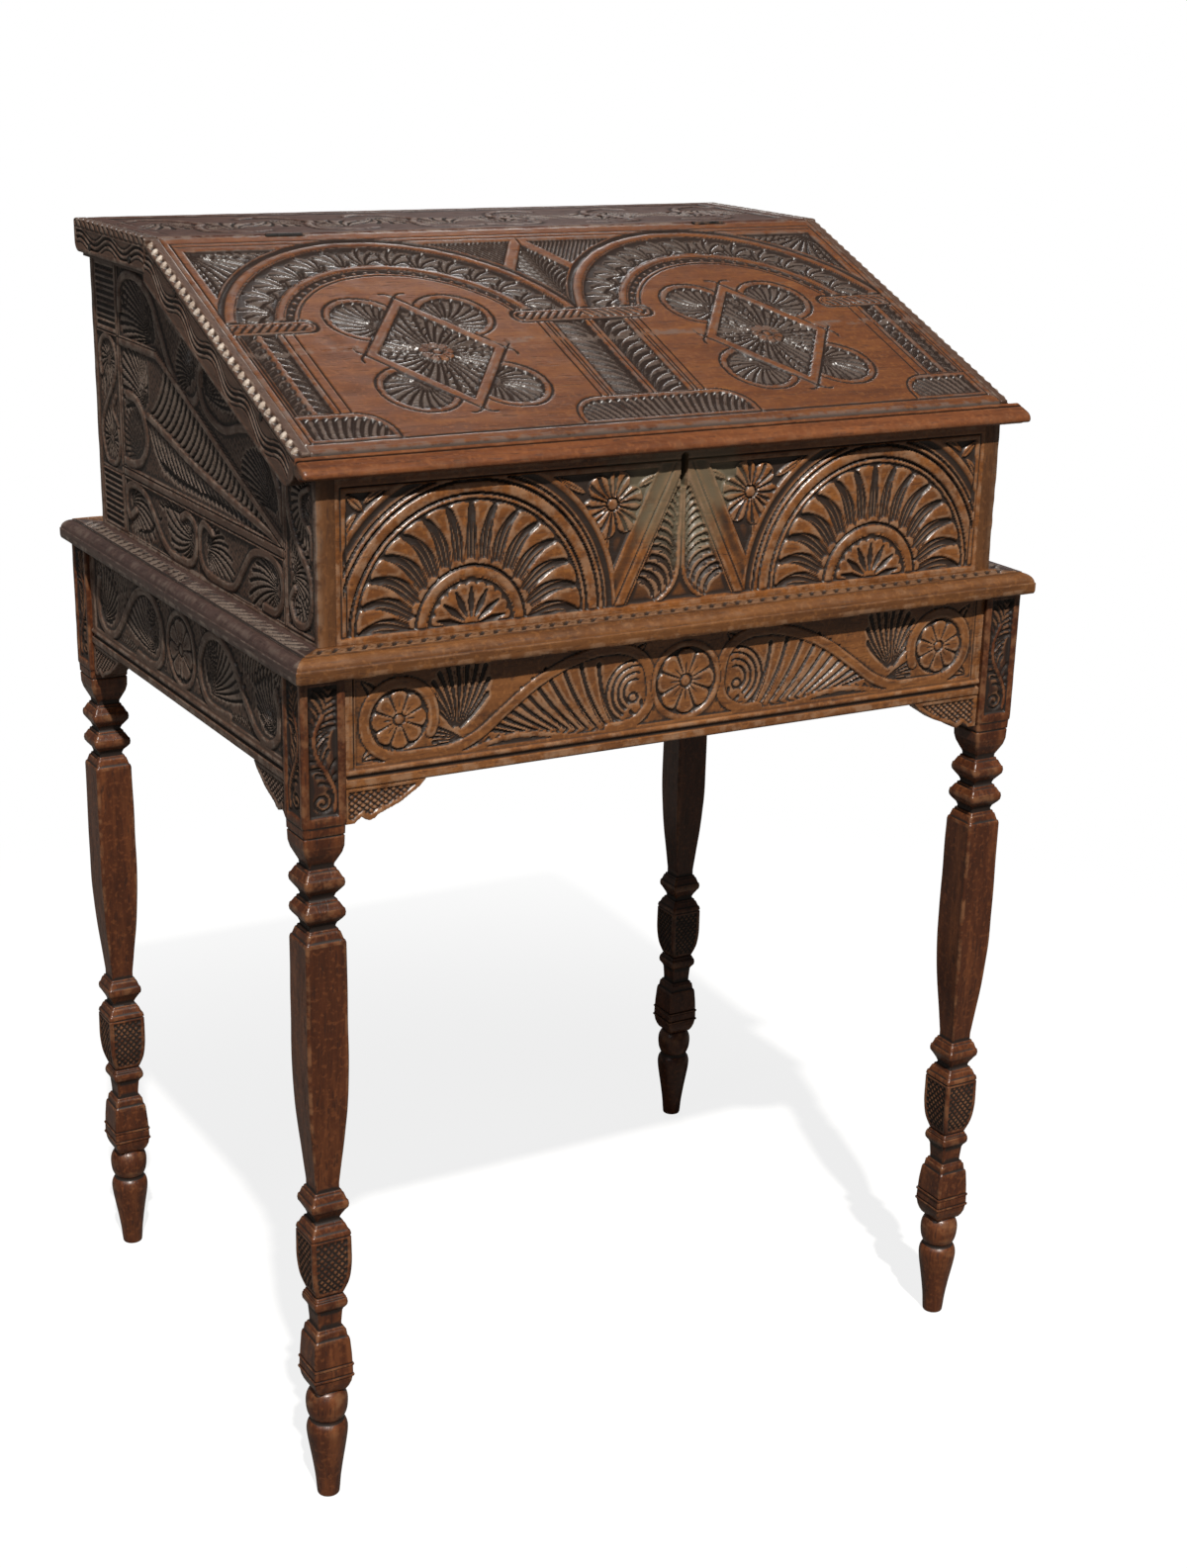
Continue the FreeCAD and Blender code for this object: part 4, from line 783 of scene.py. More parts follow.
def carve_column(wood, stem_u, edge_u):
    """Upright leaf of flutes that leave a stem on one side."""
    low, high = sorted((stem_u, edge_u))
    inside = wood.in_box((low, PILASTER_FOOT), (high, PILASTER_TOP))
    wood.keep_to(inside)
    wood.sink(inside, 1.3, 1.5)
    way = 1 if edge_u > stem_u else -1
    reach = abs(edge_u - stem_u)
    for height in np.arange(PILASTER_FOOT - 18, PILASTER_TOP, 10.2):
        for rise, share, width, depth in ((0, 1.36, 4.4, 2.1), (3.9, 1.16, 2.0, 1.2), (6.9, 1.0, 2.0, 1.2)):
            wood.flute((stem_u + way * 1.5, height + rise), 90 - way * 6, reach * share, -way * 72, width,
                       depth, 0.4, 1.0)
    wood.free()


def carve_base(wood, low, high, round_low):
    """Fluted foot of a pilaster with rounded upper corners."""
    radius = 28.0
    inside = wood.in_box((low, BASE_FOOT), (high, PILASTER_FOOT - 1.0))
    corners = [(high - radius, 1)] + ([(low + radius, -1)] if round_low else [])
    for centre_u, way in corners:
        beyond = (wood.u - centre_u) * way
        rounded = np.minimum(inside, wood.in_circle((centre_u, PILASTER_FOOT - 1 - radius), radius))
        inside = np.where((beyond > 0) & (wood.v > PILASTER_FOOT - radius), rounded, inside)
    wood.deepen(EVERYWHERE, 1.3 * held(1 - np.abs(inside + 0.4) / 1.2))
    wood.free()
    wood.sink(inside - 3.2, 1.3, 1.6)
    wood.keep_to(inside - 3.6)
    middle = (low + high) / 2 if round_low else low
    for start in np.arange(low, high, 6.2):
        lean = np.clip((start - middle) / (high - middle), -1, 1) * 42
        wood.flute((start, BASE_FOOT + 3), 90 - lean * 0.5, 31, -lean, 4.4, 1.9, 0.45)
    wood.free()


def carve_lozenge(wood):
    """Plain lozenge frame over four fluted lobes, with leaves round a flower inside it."""
    centre = np.array(LOZENGE_MIDDLE)
    outside = -in_lozenge(wood, LOZENGE_MIDDLE, LOZENGE_OUTER)
    for side in (-1, 1):
        for up in (-1, 1):
            lobe = centre + np.array([side * LOBE_PLACE[0], up * LOBE_PLACE[1]])
            quarter = np.minimum(side * (wood.u - centre[0]), up * (wood.v - centre[1]))
            room = np.minimum(outside, quarter + 0.5)
            wood.keep_to(room, 1.0)
            wood.groove(ring(lobe, LOBE_RADIUS, 48), 1.8, 1.3)
            wood.bead(ring(lobe, LOBE_RADIUS - 3.2, 48), 4.4, 0.1, 0.9)
            wood.sink(wood.in_circle(lobe, LOBE_RADIUS - 5.6), 1.5, 1.4)
            wood.keep_to(np.minimum(room, wood.in_circle(lobe, LOBE_RADIUS - 6.0)))
            outward = math.degrees(math.atan2(up * LOZENGE_OUTER[0], side * LOZENGE_OUTER[1]))
            root = lobe - 14 * turned(outward)
            headings = outward + np.linspace(-98, 98, 15)
            wood.fan(root, headings, 40 - 10 * np.abs(np.linspace(-1, 1, 15)), 26 * side * up, 3.5, 1.9, 7,
                     0.35)
    wood.free()
    inner = in_lozenge(wood, LOZENGE_MIDDLE, LOZENGE_INNER)
    frame_edge = np.abs(in_lozenge(wood, LOZENGE_MIDDLE, LOZENGE_OUTER))
    wood.deepen(EVERYWHERE, 1.9 * held(1 - frame_edge / 1.5))
    wood.free()
    wood.sink_field(inner, 1.6, 1.3, 0.3)
    for number in range(12):
        heading = FULL_TURN * (number + 0.5) / 12
        wood.fan(centre, (heading - 14, heading - 4, heading + 5), (80, 80, 80), 22, 4.6, 2.1, 14, 0.4)
    for number in range(8):
        heading = FULL_TURN * number / 8
        for away in (24, 32, 40, 48, 56):
            spot = centre + away * turned(heading)
            for side in (-1, 1):
                wood.flute(spot, heading + side * 24, 10, side * 40, 2.4, 1.6, 0.4)
    wood.free()
    wood.flower(centre, 15.0, 9, 0.1, 2.3, 0.26)
    for heading, half in ((0, LOZENGE_OUTER[0]), (90, LOZENGE_OUTER[1]), (180, LOZENGE_OUTER[0]),
                          (270, LOZENGE_OUTER[1])):
        tip = centre + half * turned(heading)
        for side in (-1, 1):
            wood.flute(tip - 2 * turned(heading), heading + side * 12, 15, side * 95, 1.8, 1.3)


def carve_spandrels(wood):
    """Leaves in the corners above the arches and in the lozenge between them."""
    clear = -wood.in_circle(ARCH_MIDDLE, ARCH_CLEAR)
    corner_box = wood.in_box((ARCH_MIDDLE[0], SPRING + 4), (PANEL_SIDE - 7, PANEL_TOP - 6))
    corner_room = np.minimum(clear, corner_box)
    wood.sink_field(corner_room, 1.5, 1.6, 1.0)
    root = np.array([PANEL_SIDE - 10, PANEL_TOP - 9])
    wood.even_fan(root, 176, 274, (88, 62, 50, 44, 40, 44, 52, 66, 90), 9, 4.2, 2.0, 3, 0.4)
    for heading in (182, 268):
        for away in np.arange(14, 78, 7.5):
            spot = root + away * turned(heading)
            for side in (-1, 1):
                wood.flute(spot, heading + side * 25, 11, side * 35, 2.6, 1.6, 0.4)
    wood.free()

    bar_foot = (33.0, 262.0)
    bar_head = (0.0, PANEL_TOP - 2)
    between = np.minimum(clear, wood.v - SPRING)
    under_bar = -wood.left_of(bar_foot, bar_head)
    inside = least(between, -under_bar - 4.5, PANEL_TOP - 5 - wood.v)
    wood.sink_field(inside, 1.6, 1.6, 0.6)
    for height in np.arange(SPRING - 4, PANEL_TOP - 8, 6.6):
        wood.flute((1.2, height), 78, 30, -52, 3.8, 1.9, 0.35)
    wood.free()
    wood.line((0.0, SPRING), bar_head, 1.8, 1.6)
    hatched = least(between, under_bar - 4.5, PANEL_TOP - 5 - wood.v)
    hatched = np.minimum(hatched, ARCH_MIDDLE[0] * 0.72 - wood.u)
    wood.sink_field(hatched, 1.1, 1.2, 0.5)
    for number in range(26):
        start = (6.0 + number * 4.2, PANEL_TOP + 6)
        wood.flute(start, 238, 80, 0, 2.0, 1.2)
    wood.free()


def carve_lid(wood):
    carve_arch(wood)
    carve_spandrels(wood)
    carve_column(wood, 3.2, 35.0)
    carve_column(wood, 310.5, 297.5)
    carve_column(wood, 279.0, 294.5)
    for u in (0.0, 38.5, 42.0, 48.5, 266.5, 275.5, 312.0):
        wood.line((u, PILASTER_FOOT), (u, PILASTER_TOP), 1.8, 1.3)
    carve_capital(wood, -60.0, 66.5)
    carve_capital(wood, 242.0, PANEL_SIDE + 10)
    carve_base(wood, -82.0, 82.0, True)
    wood.depth[wood.u > PANEL_SIDE] = 0
    wood.free()
    wood.depth = np.maximum(wood.depth, 0)
    base = Carving(2 * PANEL_SIDE - wood.u, wood.v)
    carve_base(base, PANEL_SIDE, PANEL_SIDE + 74, False)
    wood.depth = np.maximum(wood.depth, np.where(wood.u < PANEL_SIDE, base.depth, 0))
    wood.free()
    carve_lozenge(wood)
    for path in ([(PANEL_SIDE, BASE_FOOT), (PANEL_SIDE, PANEL_TOP + 5.5)],
                 [(0, PANEL_TOP), (PANEL_SIDE - 3, PANEL_TOP)],
                 [(0, PANEL_TOP + 5.5), (PANEL_SIDE, PANEL_TOP + 5.5)],
                 [(0, BASE_FOOT), (PANEL_SIDE, BASE_FOOT)]):
        wood.line(*path, 1.7, 1.0)


NOSING_BACK = 5.5
QUIRK_UP = 17.6
LID_SPLIT = 148.0
LID_ARRIS = 2.6
JOINT_GAP = 0.3
HINGE_PLACE = 210.0
HINGE_HALF = 17.6
LEAF_THICKNESS = 1.3
LEAF_REACH, LEAF_RAMP = 14.0, 12.0
KNUCKLE_REACH, KNUCKLE_DEPTH = 4.6, 5.0
FOOT_ARRIS, SIDE_ARRIS = (2.2, 2.6), (0.8, 1.6)


def slope_point(x, up, rise):
    """Points on the lid's slope in metres: across, up from its front edge, and above its face."""
    down = SLOPE_LENGTH - up
    y = BREAK_Y - down * math.cos(SLOPE_ANGLE) - rise * math.sin(SLOPE_ANGLE)
    z = TOP_Z - down * math.sin(SLOPE_ANGLE) + rise * math.cos(SLOPE_ANGLE)
    return np.stack(np.broadcast_arrays(x, y, z), -1) * MM


def lid_piece(name, low, high, seed):
    """One of the two boards that make up the lid."""
    across, up = grid(2 * LID_HALF, high - low)
    x = (across * 2 - 1) * LID_HALF
    t = low + up * (high - low)
    at_hinge = np.abs(np.abs(x) - HINGE_PLACE) < HINGE_HALF
    t = t - LEAF_THICKNESS * at_hinge * eased((t - SLOPE_LENGTH + LEAF_REACH) / LEAF_RAMP)
    wood = Carving(np.abs(x), t)
    carve_lid(wood)
    wood.line((-5, QUIRK_UP), (LID_HALF + 5, QUIRK_UP), 1.8, 1.2)
    inside = np.minimum(LID_HALF - np.abs(x), t - NOSING_BACK)
    depth = hand_made(Carving(x, t), np.full(x.shape, FAR_IN), seed) + wood.depth
    for (deep, reach), away in ((FOOT_ARRIS, t - NOSING_BACK), (SIDE_ARRIS, inside)):
        depth += deep * held(1 - away.ravel() / reach) ** 2
    depth = np.maximum(depth, LID_ARRIS - (SLOPE_LENGTH - t.ravel()))
    at_knuckle = at_hinge & (t > SLOPE_LENGTH - KNUCKLE_REACH)
    depth = np.maximum(depth, KNUCKLE_DEPTH * at_knuckle.ravel())
    face = slope_point(x, t, -depth.reshape(x.shape))
    mitre = np.where(up == 1, 0.5, 0) if high > LID_SPLIT + 1 else 0
    under = slope_point(x, t - mitre * 2 * LID_THICKNESS * math.tan(SLOPE_ANGLE / 2), -LID_THICKNESS)
    return slab(name, face, under, depth)


lid_lower = lid_piece("lid_lower_board", NOSING_BACK, LID_SPLIT, 3)
lid_upper = lid_piece("lid_upper_board", LID_SPLIT, SLOPE_LENGTH - JOINT_GAP, 4)
for piece in (lid_lower, lid_upper):
    dress(piece, "lid_oak", "lid", "lid_oak", "lid_board")


# The front board. Its carving is laid out from the middle of its width, and up from its foot.

LUNETTE = (190.0, 3.6)
LUNETTE_LINE = 118.0
LUNETTE_HOLLOW = (129.5, 118.0)
LUNETTE_MOULDINGS = ((116.2, 4.4, 0.1, 1.7), (108.4, 10.2, 0.0, 1.5), (100.9, 4.0, 0.2, 1.6))
SCALLOPS, DAISY_TIPS, INNER_MOULDING = 48.6, 30.5, 42.4
PETALS = 14
PETAL_BOW = 5.5
SHELL_OUTER = 98.2
SHELL_INNER = 47.0
FRONT_EDGE = 300.0
FRONT_FOOT = 5.0
A_BAR_HEAD = (5.0, 112.0)
A_BAR_FOOT = (58.5, 3.0)
HOLLOW_BAR_OFFSET = 11.5
A_BAR_WIDTH = 9.0
LEAF_LEVEL = 0.25
KEYHOLE_HALF_WIDTH = 3.25
KEYHOLE_TOP_MARGIN = 4.0
KEYHOLE_HEIGHT = 28.0


def carve_petals(wood, room):
    """Whirled petals of a lunette: plain tips that taper inward between dark curved gouges."""
    away, angle = wood.away_from(LUNETTE)
    share = held((away - SHELL_INNER) / (SHELL_OUTER - SHELL_INNER))
    angle = angle - PETAL_BOW * np.sin(np.pi * share) * np.tanh((90 - angle) / 20)
    pitch = 180.0 / PETALS
    place = (angle / pitch + 0.5) % 1 - 0.5
    to_mm = away * math.radians(pitch)
    half = 0.32 * held((share - 0.30) / 0.55) ** 0.85 + 0.12 * held((share - 0.88) / 0.1)
    beside = (0.5 - np.abs(place) - half) * to_mm
    dark = eased(beside / 1.5 + 0.15)
    room_left = 0.5 - half
    ridges = np.exp(-((np.abs(place) - 0.15) * to_mm / 1.15) ** 2) * held((room_left - 0.2) / 0.05)
    ridges += np.exp(-((np.abs(place) - 0.36) * to_mm / 1.0) ** 2) * held((room_left - 0.42) / 0.05)
    form = 0.25 + 0.25 * (1 - (2 * np.abs(place)) ** 2) + dark * (2.4 - 1.3 * held(ridges))
    tip = SHELL_OUTER - 1.2 - 3.5 * (1 - 2 * np.abs(place)) ** 3
    form += 2.0 * eased((away - tip) / 1.2) * (form < 1.5)
    shell = np.minimum(wood.in_ring(LUNETTE, SHELL_OUTER, SHELL_INNER), room)
    wood.blend(EVERYWHERE, form, eased(shell / 0.9))
    wood.free()


def carve_lunette(wood):
    """Half round shell: mouldings, whirled petals, scallops, inner moulding and half daisy."""
    room = np.minimum(FRONT_EDGE - 1.5 - wood.u, LUNETTE_LINE - wood.v)
    room = np.minimum(room, wood.v - FRONT_FOOT)
    wood.keep_to(room, 1.0)
    wood.sink(wood.in_ring(LUNETTE, *LUNETTE_HOLLOW), 2.0, 5.0)
    for radius, width, level, crown in LUNETTE_MOULDINGS:
        wood.bead(half_ring(LUNETTE, radius), width, level, crown)
    for radius in (118.8, 113.8, 103.1, SHELL_OUTER):
        wood.groove(half_ring(LUNETTE, radius), 2.5, 2.4)
    carve_petals(wood, room)
    centre = np.array(LUNETTE)
    wood.keep_to(room, 1.0)
    for way in np.arange(7.5, 180, 13.6):
        wood.lift(wood.in_circle(centre + SCALLOPS * turned(way), 6.2), 0.7, 2.4)
    wood.groove(half_ring(LUNETTE, 47.4, 40), 2.6, 2.5)
    wood.bead(half_ring(LUNETTE, INNER_MOULDING, 40), 8.0, 0.0, 1.5)
    wood.sink(wood.in_circle(LUNETTE, 38.2), 2.0, 1.2)
    for way in np.arange(12, 180, 15.6):
        wood.lift(wood.in_circle(centre + DAISY_TIPS * turned(way), 5.2), 0.3, 1.4)
    wood.lift(wood.in_circle(LUNETTE, 32.0), 0.3, 1.4)
    for way in (12, 38, 64, 90, 116, 142, 168):
        for start, end in ((0.3, 1.0), (1.0, 0.3)):
            low, high = (8, 19) if start < end else (19, 30)
            wood.line(centre + low * turned(way), centre + high * turned(way), 6.6, 2.6, start, end)
    wood.bead(half_ring(LUNETTE, 4.4, 12), 5.0, 0.2, 0.8)
    wood.free()


def carve_leaf(wood, middle, width):
    """Pointed leaf with a cut vein, left standing along a path."""
    near, distance, _, run, length = wood.along(middle, width)
    share = np.clip(run / length, 0.02, 0.98)
    half = width / 2 * held(np.sin(np.pi * share ** 0.8)) ** 0.7
    inside = eased((half - distance) / 1.0 + 0.2) * wood.room[near] * (distance < half + 0.5)
    form = LEAF_LEVEL + 1.1 * eased((distance - half + 1.0) / 1.2)
    form = np.maximum(form, 1.5 * held(1 - distance / 1.1) * (share < 0.85))
    wood.blend(near, form, inside)


def carve_front_corner(wood):
    """Three leaves in the outer upper corner."""
    room = np.minimum(-wood.in_circle(LUNETTE, 131.0),
                      wood.in_box((LUNETTE[0], FRONT_FOOT), (FRONT_EDGE - 4.5, LUNETTE_LINE - 2.5)))
    wood.sink_field(room, 2.2, 1.4)
    carve_leaf(wood, bow((281, 101), 44, 19, -4), 7.6)
    carve_leaf(wood, bow((280, 106), 132, 24, 40), 5.8)
    carve_leaf(wood, bow((286, 99), -38, 26, -46), 5.8)
    wood.free()


def in_front_triangle(wood):
    """Distance inside the field between a lunette and the slanting bars."""
    foot, head = np.array(A_BAR_FOOT), np.array(A_BAR_HEAD)
    from_bar = -wood.left_of(foot, head) - HOLLOW_BAR_OFFSET - A_BAR_WIDTH / 2 - 1.5
    low = np.minimum(LUNETTE_LINE - 3 - wood.v, LUNETTE[0] - wood.u)
    return least(from_bar, -wood.in_circle(LUNETTE, 130.5), low)


def carve_six_leaf(wood):
    """Flower of broad fluted lobes that fills the triangle, with leaves running into its corners."""
    field = in_front_triangle(wood)
    wood.sink(field, 2.3, 1.6)
    centre = np.array([65.0, 88.0])
    wood.keep_to(field - 0.3)
    away, angle = wood.away_from(centre)
    across = np.abs(((angle - 18) / 60.0) % 1 * 2 - 1)
    rim = 28.5 * (0.50 + 0.50 * held(1 - across ** 2) ** 0.45)
    wood.lift(np.minimum(rim - away, 32 * (0.90 - across) * away / 27 + 0.2), 0.15, 1.5)
    for corner, length in (((118.0, 112.0), 30), ((22.0, 111.0), 24), ((70.0, 55.0), 16)):
        way = np.array(corner) - centre
        heading = math.degrees(math.atan2(way[1], way[0]))
        carve_leaf(wood, bow(centre + 27 * turned(heading), heading, length, 10), 6.0)
    wood.keep_to(np.minimum(field - 0.3, np.minimum(rim - away, 32 * (0.90 - across) * away / 27) - 0.8))
    for lobe in range(6):
        heading = 18 + 30 + 60 * lobe
        for offset, length in ((-9, 20), (8, 21)):
            root = centre + 7.0 * turned(heading + offset)
            wood.flute(root, heading + offset - 8, length, 20 + offset, 5.0, 1.9, 0.35, 0.9)
    wood.free()
    for radius, level in ((6.0, 2.2), (4.6, 0.1)):
        near = np.nonzero(away < radius)[0]
        wood.depth[near] = level + 0.9 * (away[near] / radius) ** 2
    wood.free()


def carve_slanting_bars(wood):
    """Plain bar and hollow bar on each side of the keyhole, with feather leaves between them."""
    foot, head = np.array(A_BAR_FOOT), np.array(A_BAR_HEAD)
    way = (head - foot) / np.hypot(*(head - foot))
    outward = np.array([way[1], -way[0]])
    low_v = wood.v - FRONT_FOOT
    level = np.minimum(low_v, LUNETTE_LINE - wood.v)
    offset = outward * HOLLOW_BAR_OFFSET
    hollow = np.array([foot + offset - way * 12, head + offset + way * 4])
    wood.keep_to(np.minimum(level, -wood.in_circle(LUNETTE, 128.5)), 1.0)
    near, distance, _, _, _ = wood.along(hollow, 8)
    wood.deepen(near, 1.1 * np.sqrt(held(1 - (distance / 5.6) ** 2)))
    wood.keep_to(level, 1.0)
    bar = np.array([foot - way * 8, head + way * 6])
    wood.ribbon(bar, A_BAR_WIDTH, 0.0, 2.0, 1.9)

    inside = least(wood.left_of(foot, head) - A_BAR_WIDTH / 2 - 1.0, low_v, 98.0 - wood.v)
    wood.sink_field(inside, 1.7, 1.5)
    stem = smooth_path((24.0, 4.0), (12.0, 12.0), (3.6, 26.0), (1.9, 50.0), (1.5, 78.0), (1.2, 98.0))
    wood.bead(stem, 3.4, 0.2, 0.9)
    spots = path_spots(stem, np.linspace(0.03, 0.93, 13))
    for number, (root, heading) in enumerate(spots):
        start = np.array(root) + np.array([2.8, 1.0])
        length = 31 if number < 8 else 31 - (number - 7) * 3.2
        wood.flute(start, min(heading, 98) - 4, length, -96, 4.6, 2.3, 0.4)
        wood.flute(start + (2, 3), min(heading, 98) - 8, length * 0.6, -84, 1.8, 1.4, 0.5)
    wood.free()


def carve_front(wood):
    carve_lunette(wood)
    carve_front_corner(wood)
    carve_slanting_bars(wood)
    carve_six_leaf(wood)
    for path in ([(0, LUNETTE_LINE + 1.2), (FRONT_EDGE, LUNETTE_LINE + 1.2)],
                 [(FRONT_EDGE, FRONT_FOOT), (FRONT_EDGE, LUNETTE_LINE + 1.2)],
                 [(FRONT_EDGE - 5, FRONT_FOOT), (FRONT_EDGE - 5, 100)],
                 [(0, FRONT_FOOT), (FRONT_EDGE, FRONT_FOOT)]):
        wood.line(*path, 1.6, 1.1)


def front_piece():
    """Carved front board with the keyhole cut deep into it."""
    half = BOX_HALF - BOARD_THICKNESS
    face_top = slope_under(BOX_FRONT) - BOX_FLOOR
    across, up = grid(2 * half, face_top)
    x, v = (across * 2 - 1) * half, up * face_top
    wood = Carving(np.abs(x), v)
    carve_front(wood)
    depth = hand_made(Carving(x, v), np.minimum(face_top - v, FAR_IN), 11) + wood.depth
    key_top = face_top - KEYHOLE_TOP_MARGIN - KEYHOLE_HALF_WIDTH
    key_path = np.array([(0.0, key_top), (0.0, key_top - KEYHOLE_HEIGHT + 2 * KEYHOLE_HALF_WIDTH)])
    near, distance, _, _, _ = wood.along(key_path, 6)
    skin = BOX_FRONT + BOARD_THICKNESS - TONGUE
    depth[near] = np.where(distance < KEYHOLE_HALF_WIDTH, skin - BOX_FRONT - 0.4, depth[near])
    depth = depth.reshape(x.shape)
    face = np.stack([x, BOX_FRONT + depth, BOX_FLOOR + v], -1) * MM
    behind = np.stack([x, np.full(x.shape, skin), BOX_FLOOR + up * (slope_under(skin) - BOX_FLOOR)], -1) * MM

    def layer(low, high, start, end, depth_back):
        """Plain part behind the skin, from start to end across, up to a height or to the lid."""
        tops = [high or slope_under(place) - BOX_FLOOR for place in depth_back]
        outline = [(start, depth_back[0], BOX_FLOOR + low), (start, depth_back[1], BOX_FLOOR + low),
                   (start, depth_back[1], BOX_FLOOR + tops[1]), (start, depth_back[0], BOX_FLOOR + tops[0])]
        return prism(outline, (end - start, 0, 0))

    inner = (skin, BOX_FRONT + BOARD_THICKNESS)
    tongue = (inner[1] - TONGUE_THICKNESS, inner[1])
    solids = [layer(0, BOTTOM_LOW, -half, half, inner), layer(BOTTOM_HIGH, None, -half, half, inner),
              layer(BOTTOM_LOW, None, -half - TONGUE, -half, tongue),
              layer(BOTTOM_LOW, None, half, half + TONGUE, tongue)]
    return slab("box_front_board", face, behind, depth.ravel(), solids)


dress(front_piece(), "box_oak", "box", "box_oak", "box_front")


# The side boards. Their carving is laid out from the back edge, and up from the foot.

SIDE_DEPTH = BOX_BACK - BOX_FRONT
REAR_STRIP = 63.5
FRONT_STRIP = 429.0

# How much finer the flutes are cut on the sides of the box and the stand
FINER = 1.4


def side_top(u):
    """Height of a side board over its foot, at a distance from its back edge."""
    return np.minimum(TOP_Z - LID_THICKNESS, slope_under(BOX_BACK - u)) - BOX_FLOOR


def carve_ladder(wood, low, high):
    """Row of level gouges across the rear strip."""
    for height in np.arange(low + 4.0, high - 2.0, 5.4):
        wood.line((13.0, height), (58.0, height), 3.6, 2.0)


def carve_rear_strip(wood):
    """Twisted leaf of two round loops between two ladders of gouges."""
    field = wood.in_box((9.5, 56), (60.5, 175))
    wood.sink_field(field, 1.6, 1.5)
    wood.fan((36, 152), np.arange(10, 370, 27), [20] * 14, 30, 4.2, 1.6, 4)
    wood.fan((35, 82), np.arange(0, 360, 27), [22] * 14, 30, 4.2, 1.6, 4)
    for root, heading in (((16, 118), 80), ((22, 112), 70), ((52, 122), 250), ((46, 128), 240)):
        wood.flute(root, heading, 26, 40, 3.6, 1.6, 0.4)
    wood.ribbon(smooth_path((16, 138), (13, 158), (26, 171), (47, 170), (57, 154), (48, 134), (30, 116),
                            (15, 98), (13, 78), (24, 62), (46, 62), (57, 78), (54, 96)), 5.4, 0.1)
    wood.ribbon(smooth_path((52, 122), (42, 108), (56, 96)), 4.6, 0.2)
    wood.free()
    for low, high in ((3, 53), (178, 236)):
        wood.sink(wood.in_box((9.5, low), (60.5, high)), 0.6, 1.2)
        carve_ladder(wood, low, high)


def carve_low_wave(wood):
    """Wave of leaf along the foot of the side."""
    field = wood.in_box((REAR_STRIP + 4, 3), (FRONT_STRIP - 3, 53.5))
    wood.sink_field(field, 1.7, 1.5)
    wood.even_fan((76, 32), -66, 62, (26, 34, 46, 54, 58, 50, 40, 30, 22), -38, 4.6, 1.9, 6)
    wood.feathers(smooth_path((90, 6), (120, 10), (146, 24)), 6, (14, 22, 12), 34, -30, 3.6)
    wood.even_fan((232, 30), 112, 250, (26, 34, 44, 52, 58, 60, 54, 44, 32, 22), -36, 4.6, 1.9, 6)
    wood.feathers(smooth_path((150, 46), (176, 51), (210, 52)), 6, (12, 20, 12), -38, 30, 3.6)
    wood.even_fan((258, 28), -60, 66, (26, 36, 46, 56, 60, 58, 48, 38, 28, 20), -34, 4.6, 1.9, 6)
    wood.even_fan((415, 26), 120, 256, (24, 32, 42, 52, 60, 62, 60, 52, 42, 32, 22), 34, 4.4, 1.9, 6)
    wood.ribbon(smooth_path((92, 28), (76, 20), (69, 32), (75, 46), (95, 50.5), (117, 47), (136, 35),
                            (154, 19), (174, 8.5), (203, 6.5), (228, 10), (240, 25), (238, 42), (222, 49),
                            (206, 44)), 7.4, 0.0)
    wood.ribbon(smooth_path((276, 44), (258, 49), (247.5, 38), (248, 20), (262, 8.5), (292, 6.5), (322, 10),
                            (343, 29), (364, 46), (396, 50.5), (419, 43), (422, 22), (408, 8.5),
                            (384, 7.5)), 7.4, 0.0)
    for centre in (243.0, 245.5):
        wood.line((centre, 4), (centre, 53), 1.3, 1.0)
    wood.free()


def carve_long_leaf(wood):
    """Two long feathered leaves between plain bands that meet toward the front."""
    rear = REAR_STRIP + 4
    field = wood.in_polygon([(rear, 64), (426, 64), (426, 67), (167, 169), (rear, 169)])
    wood.sink_field(field, 1.7, 1.5)
    upper = smooth_path((133, 117), (182, 106), (250, 91), (340, 77), (424, 65.5))
    wood.feathers(upper, 19, (66, 62, 50, 40, 30, 20, 12, 6), 30, 52, 7.6, 2.4, (0.0, 0.94))
    wood.feathers(upper, 18, (56, 52, 40, 30, 22, 16, 10, 5), -64, 56, 7.2, 2.4, (0.0, 0.9))
    wood.even_fan((132, 122), 84, 176, (44, 48, 52, 58, 62, 66, 66, 60, 50), 22, 5.0, 1.9, 6)
    hollow = wood.in_circle((98, 94), 25)
    wood.even_fan((112, 78), 60, 190, [46] * 12, 24, 2.6, 1.2, 4)
    wood.deepen(EVERYWHERE, 0.5 * eased(hollow / 6))
    wood.ribbon(smooth_path((82, 128), (104, 126), (124, 112), (128, 92), (112, 74), (84, 68), (68, 69)),
                8.0, 0.0)
    wood.ribbon(upper, 7.4, 0.0)
    wood.free()


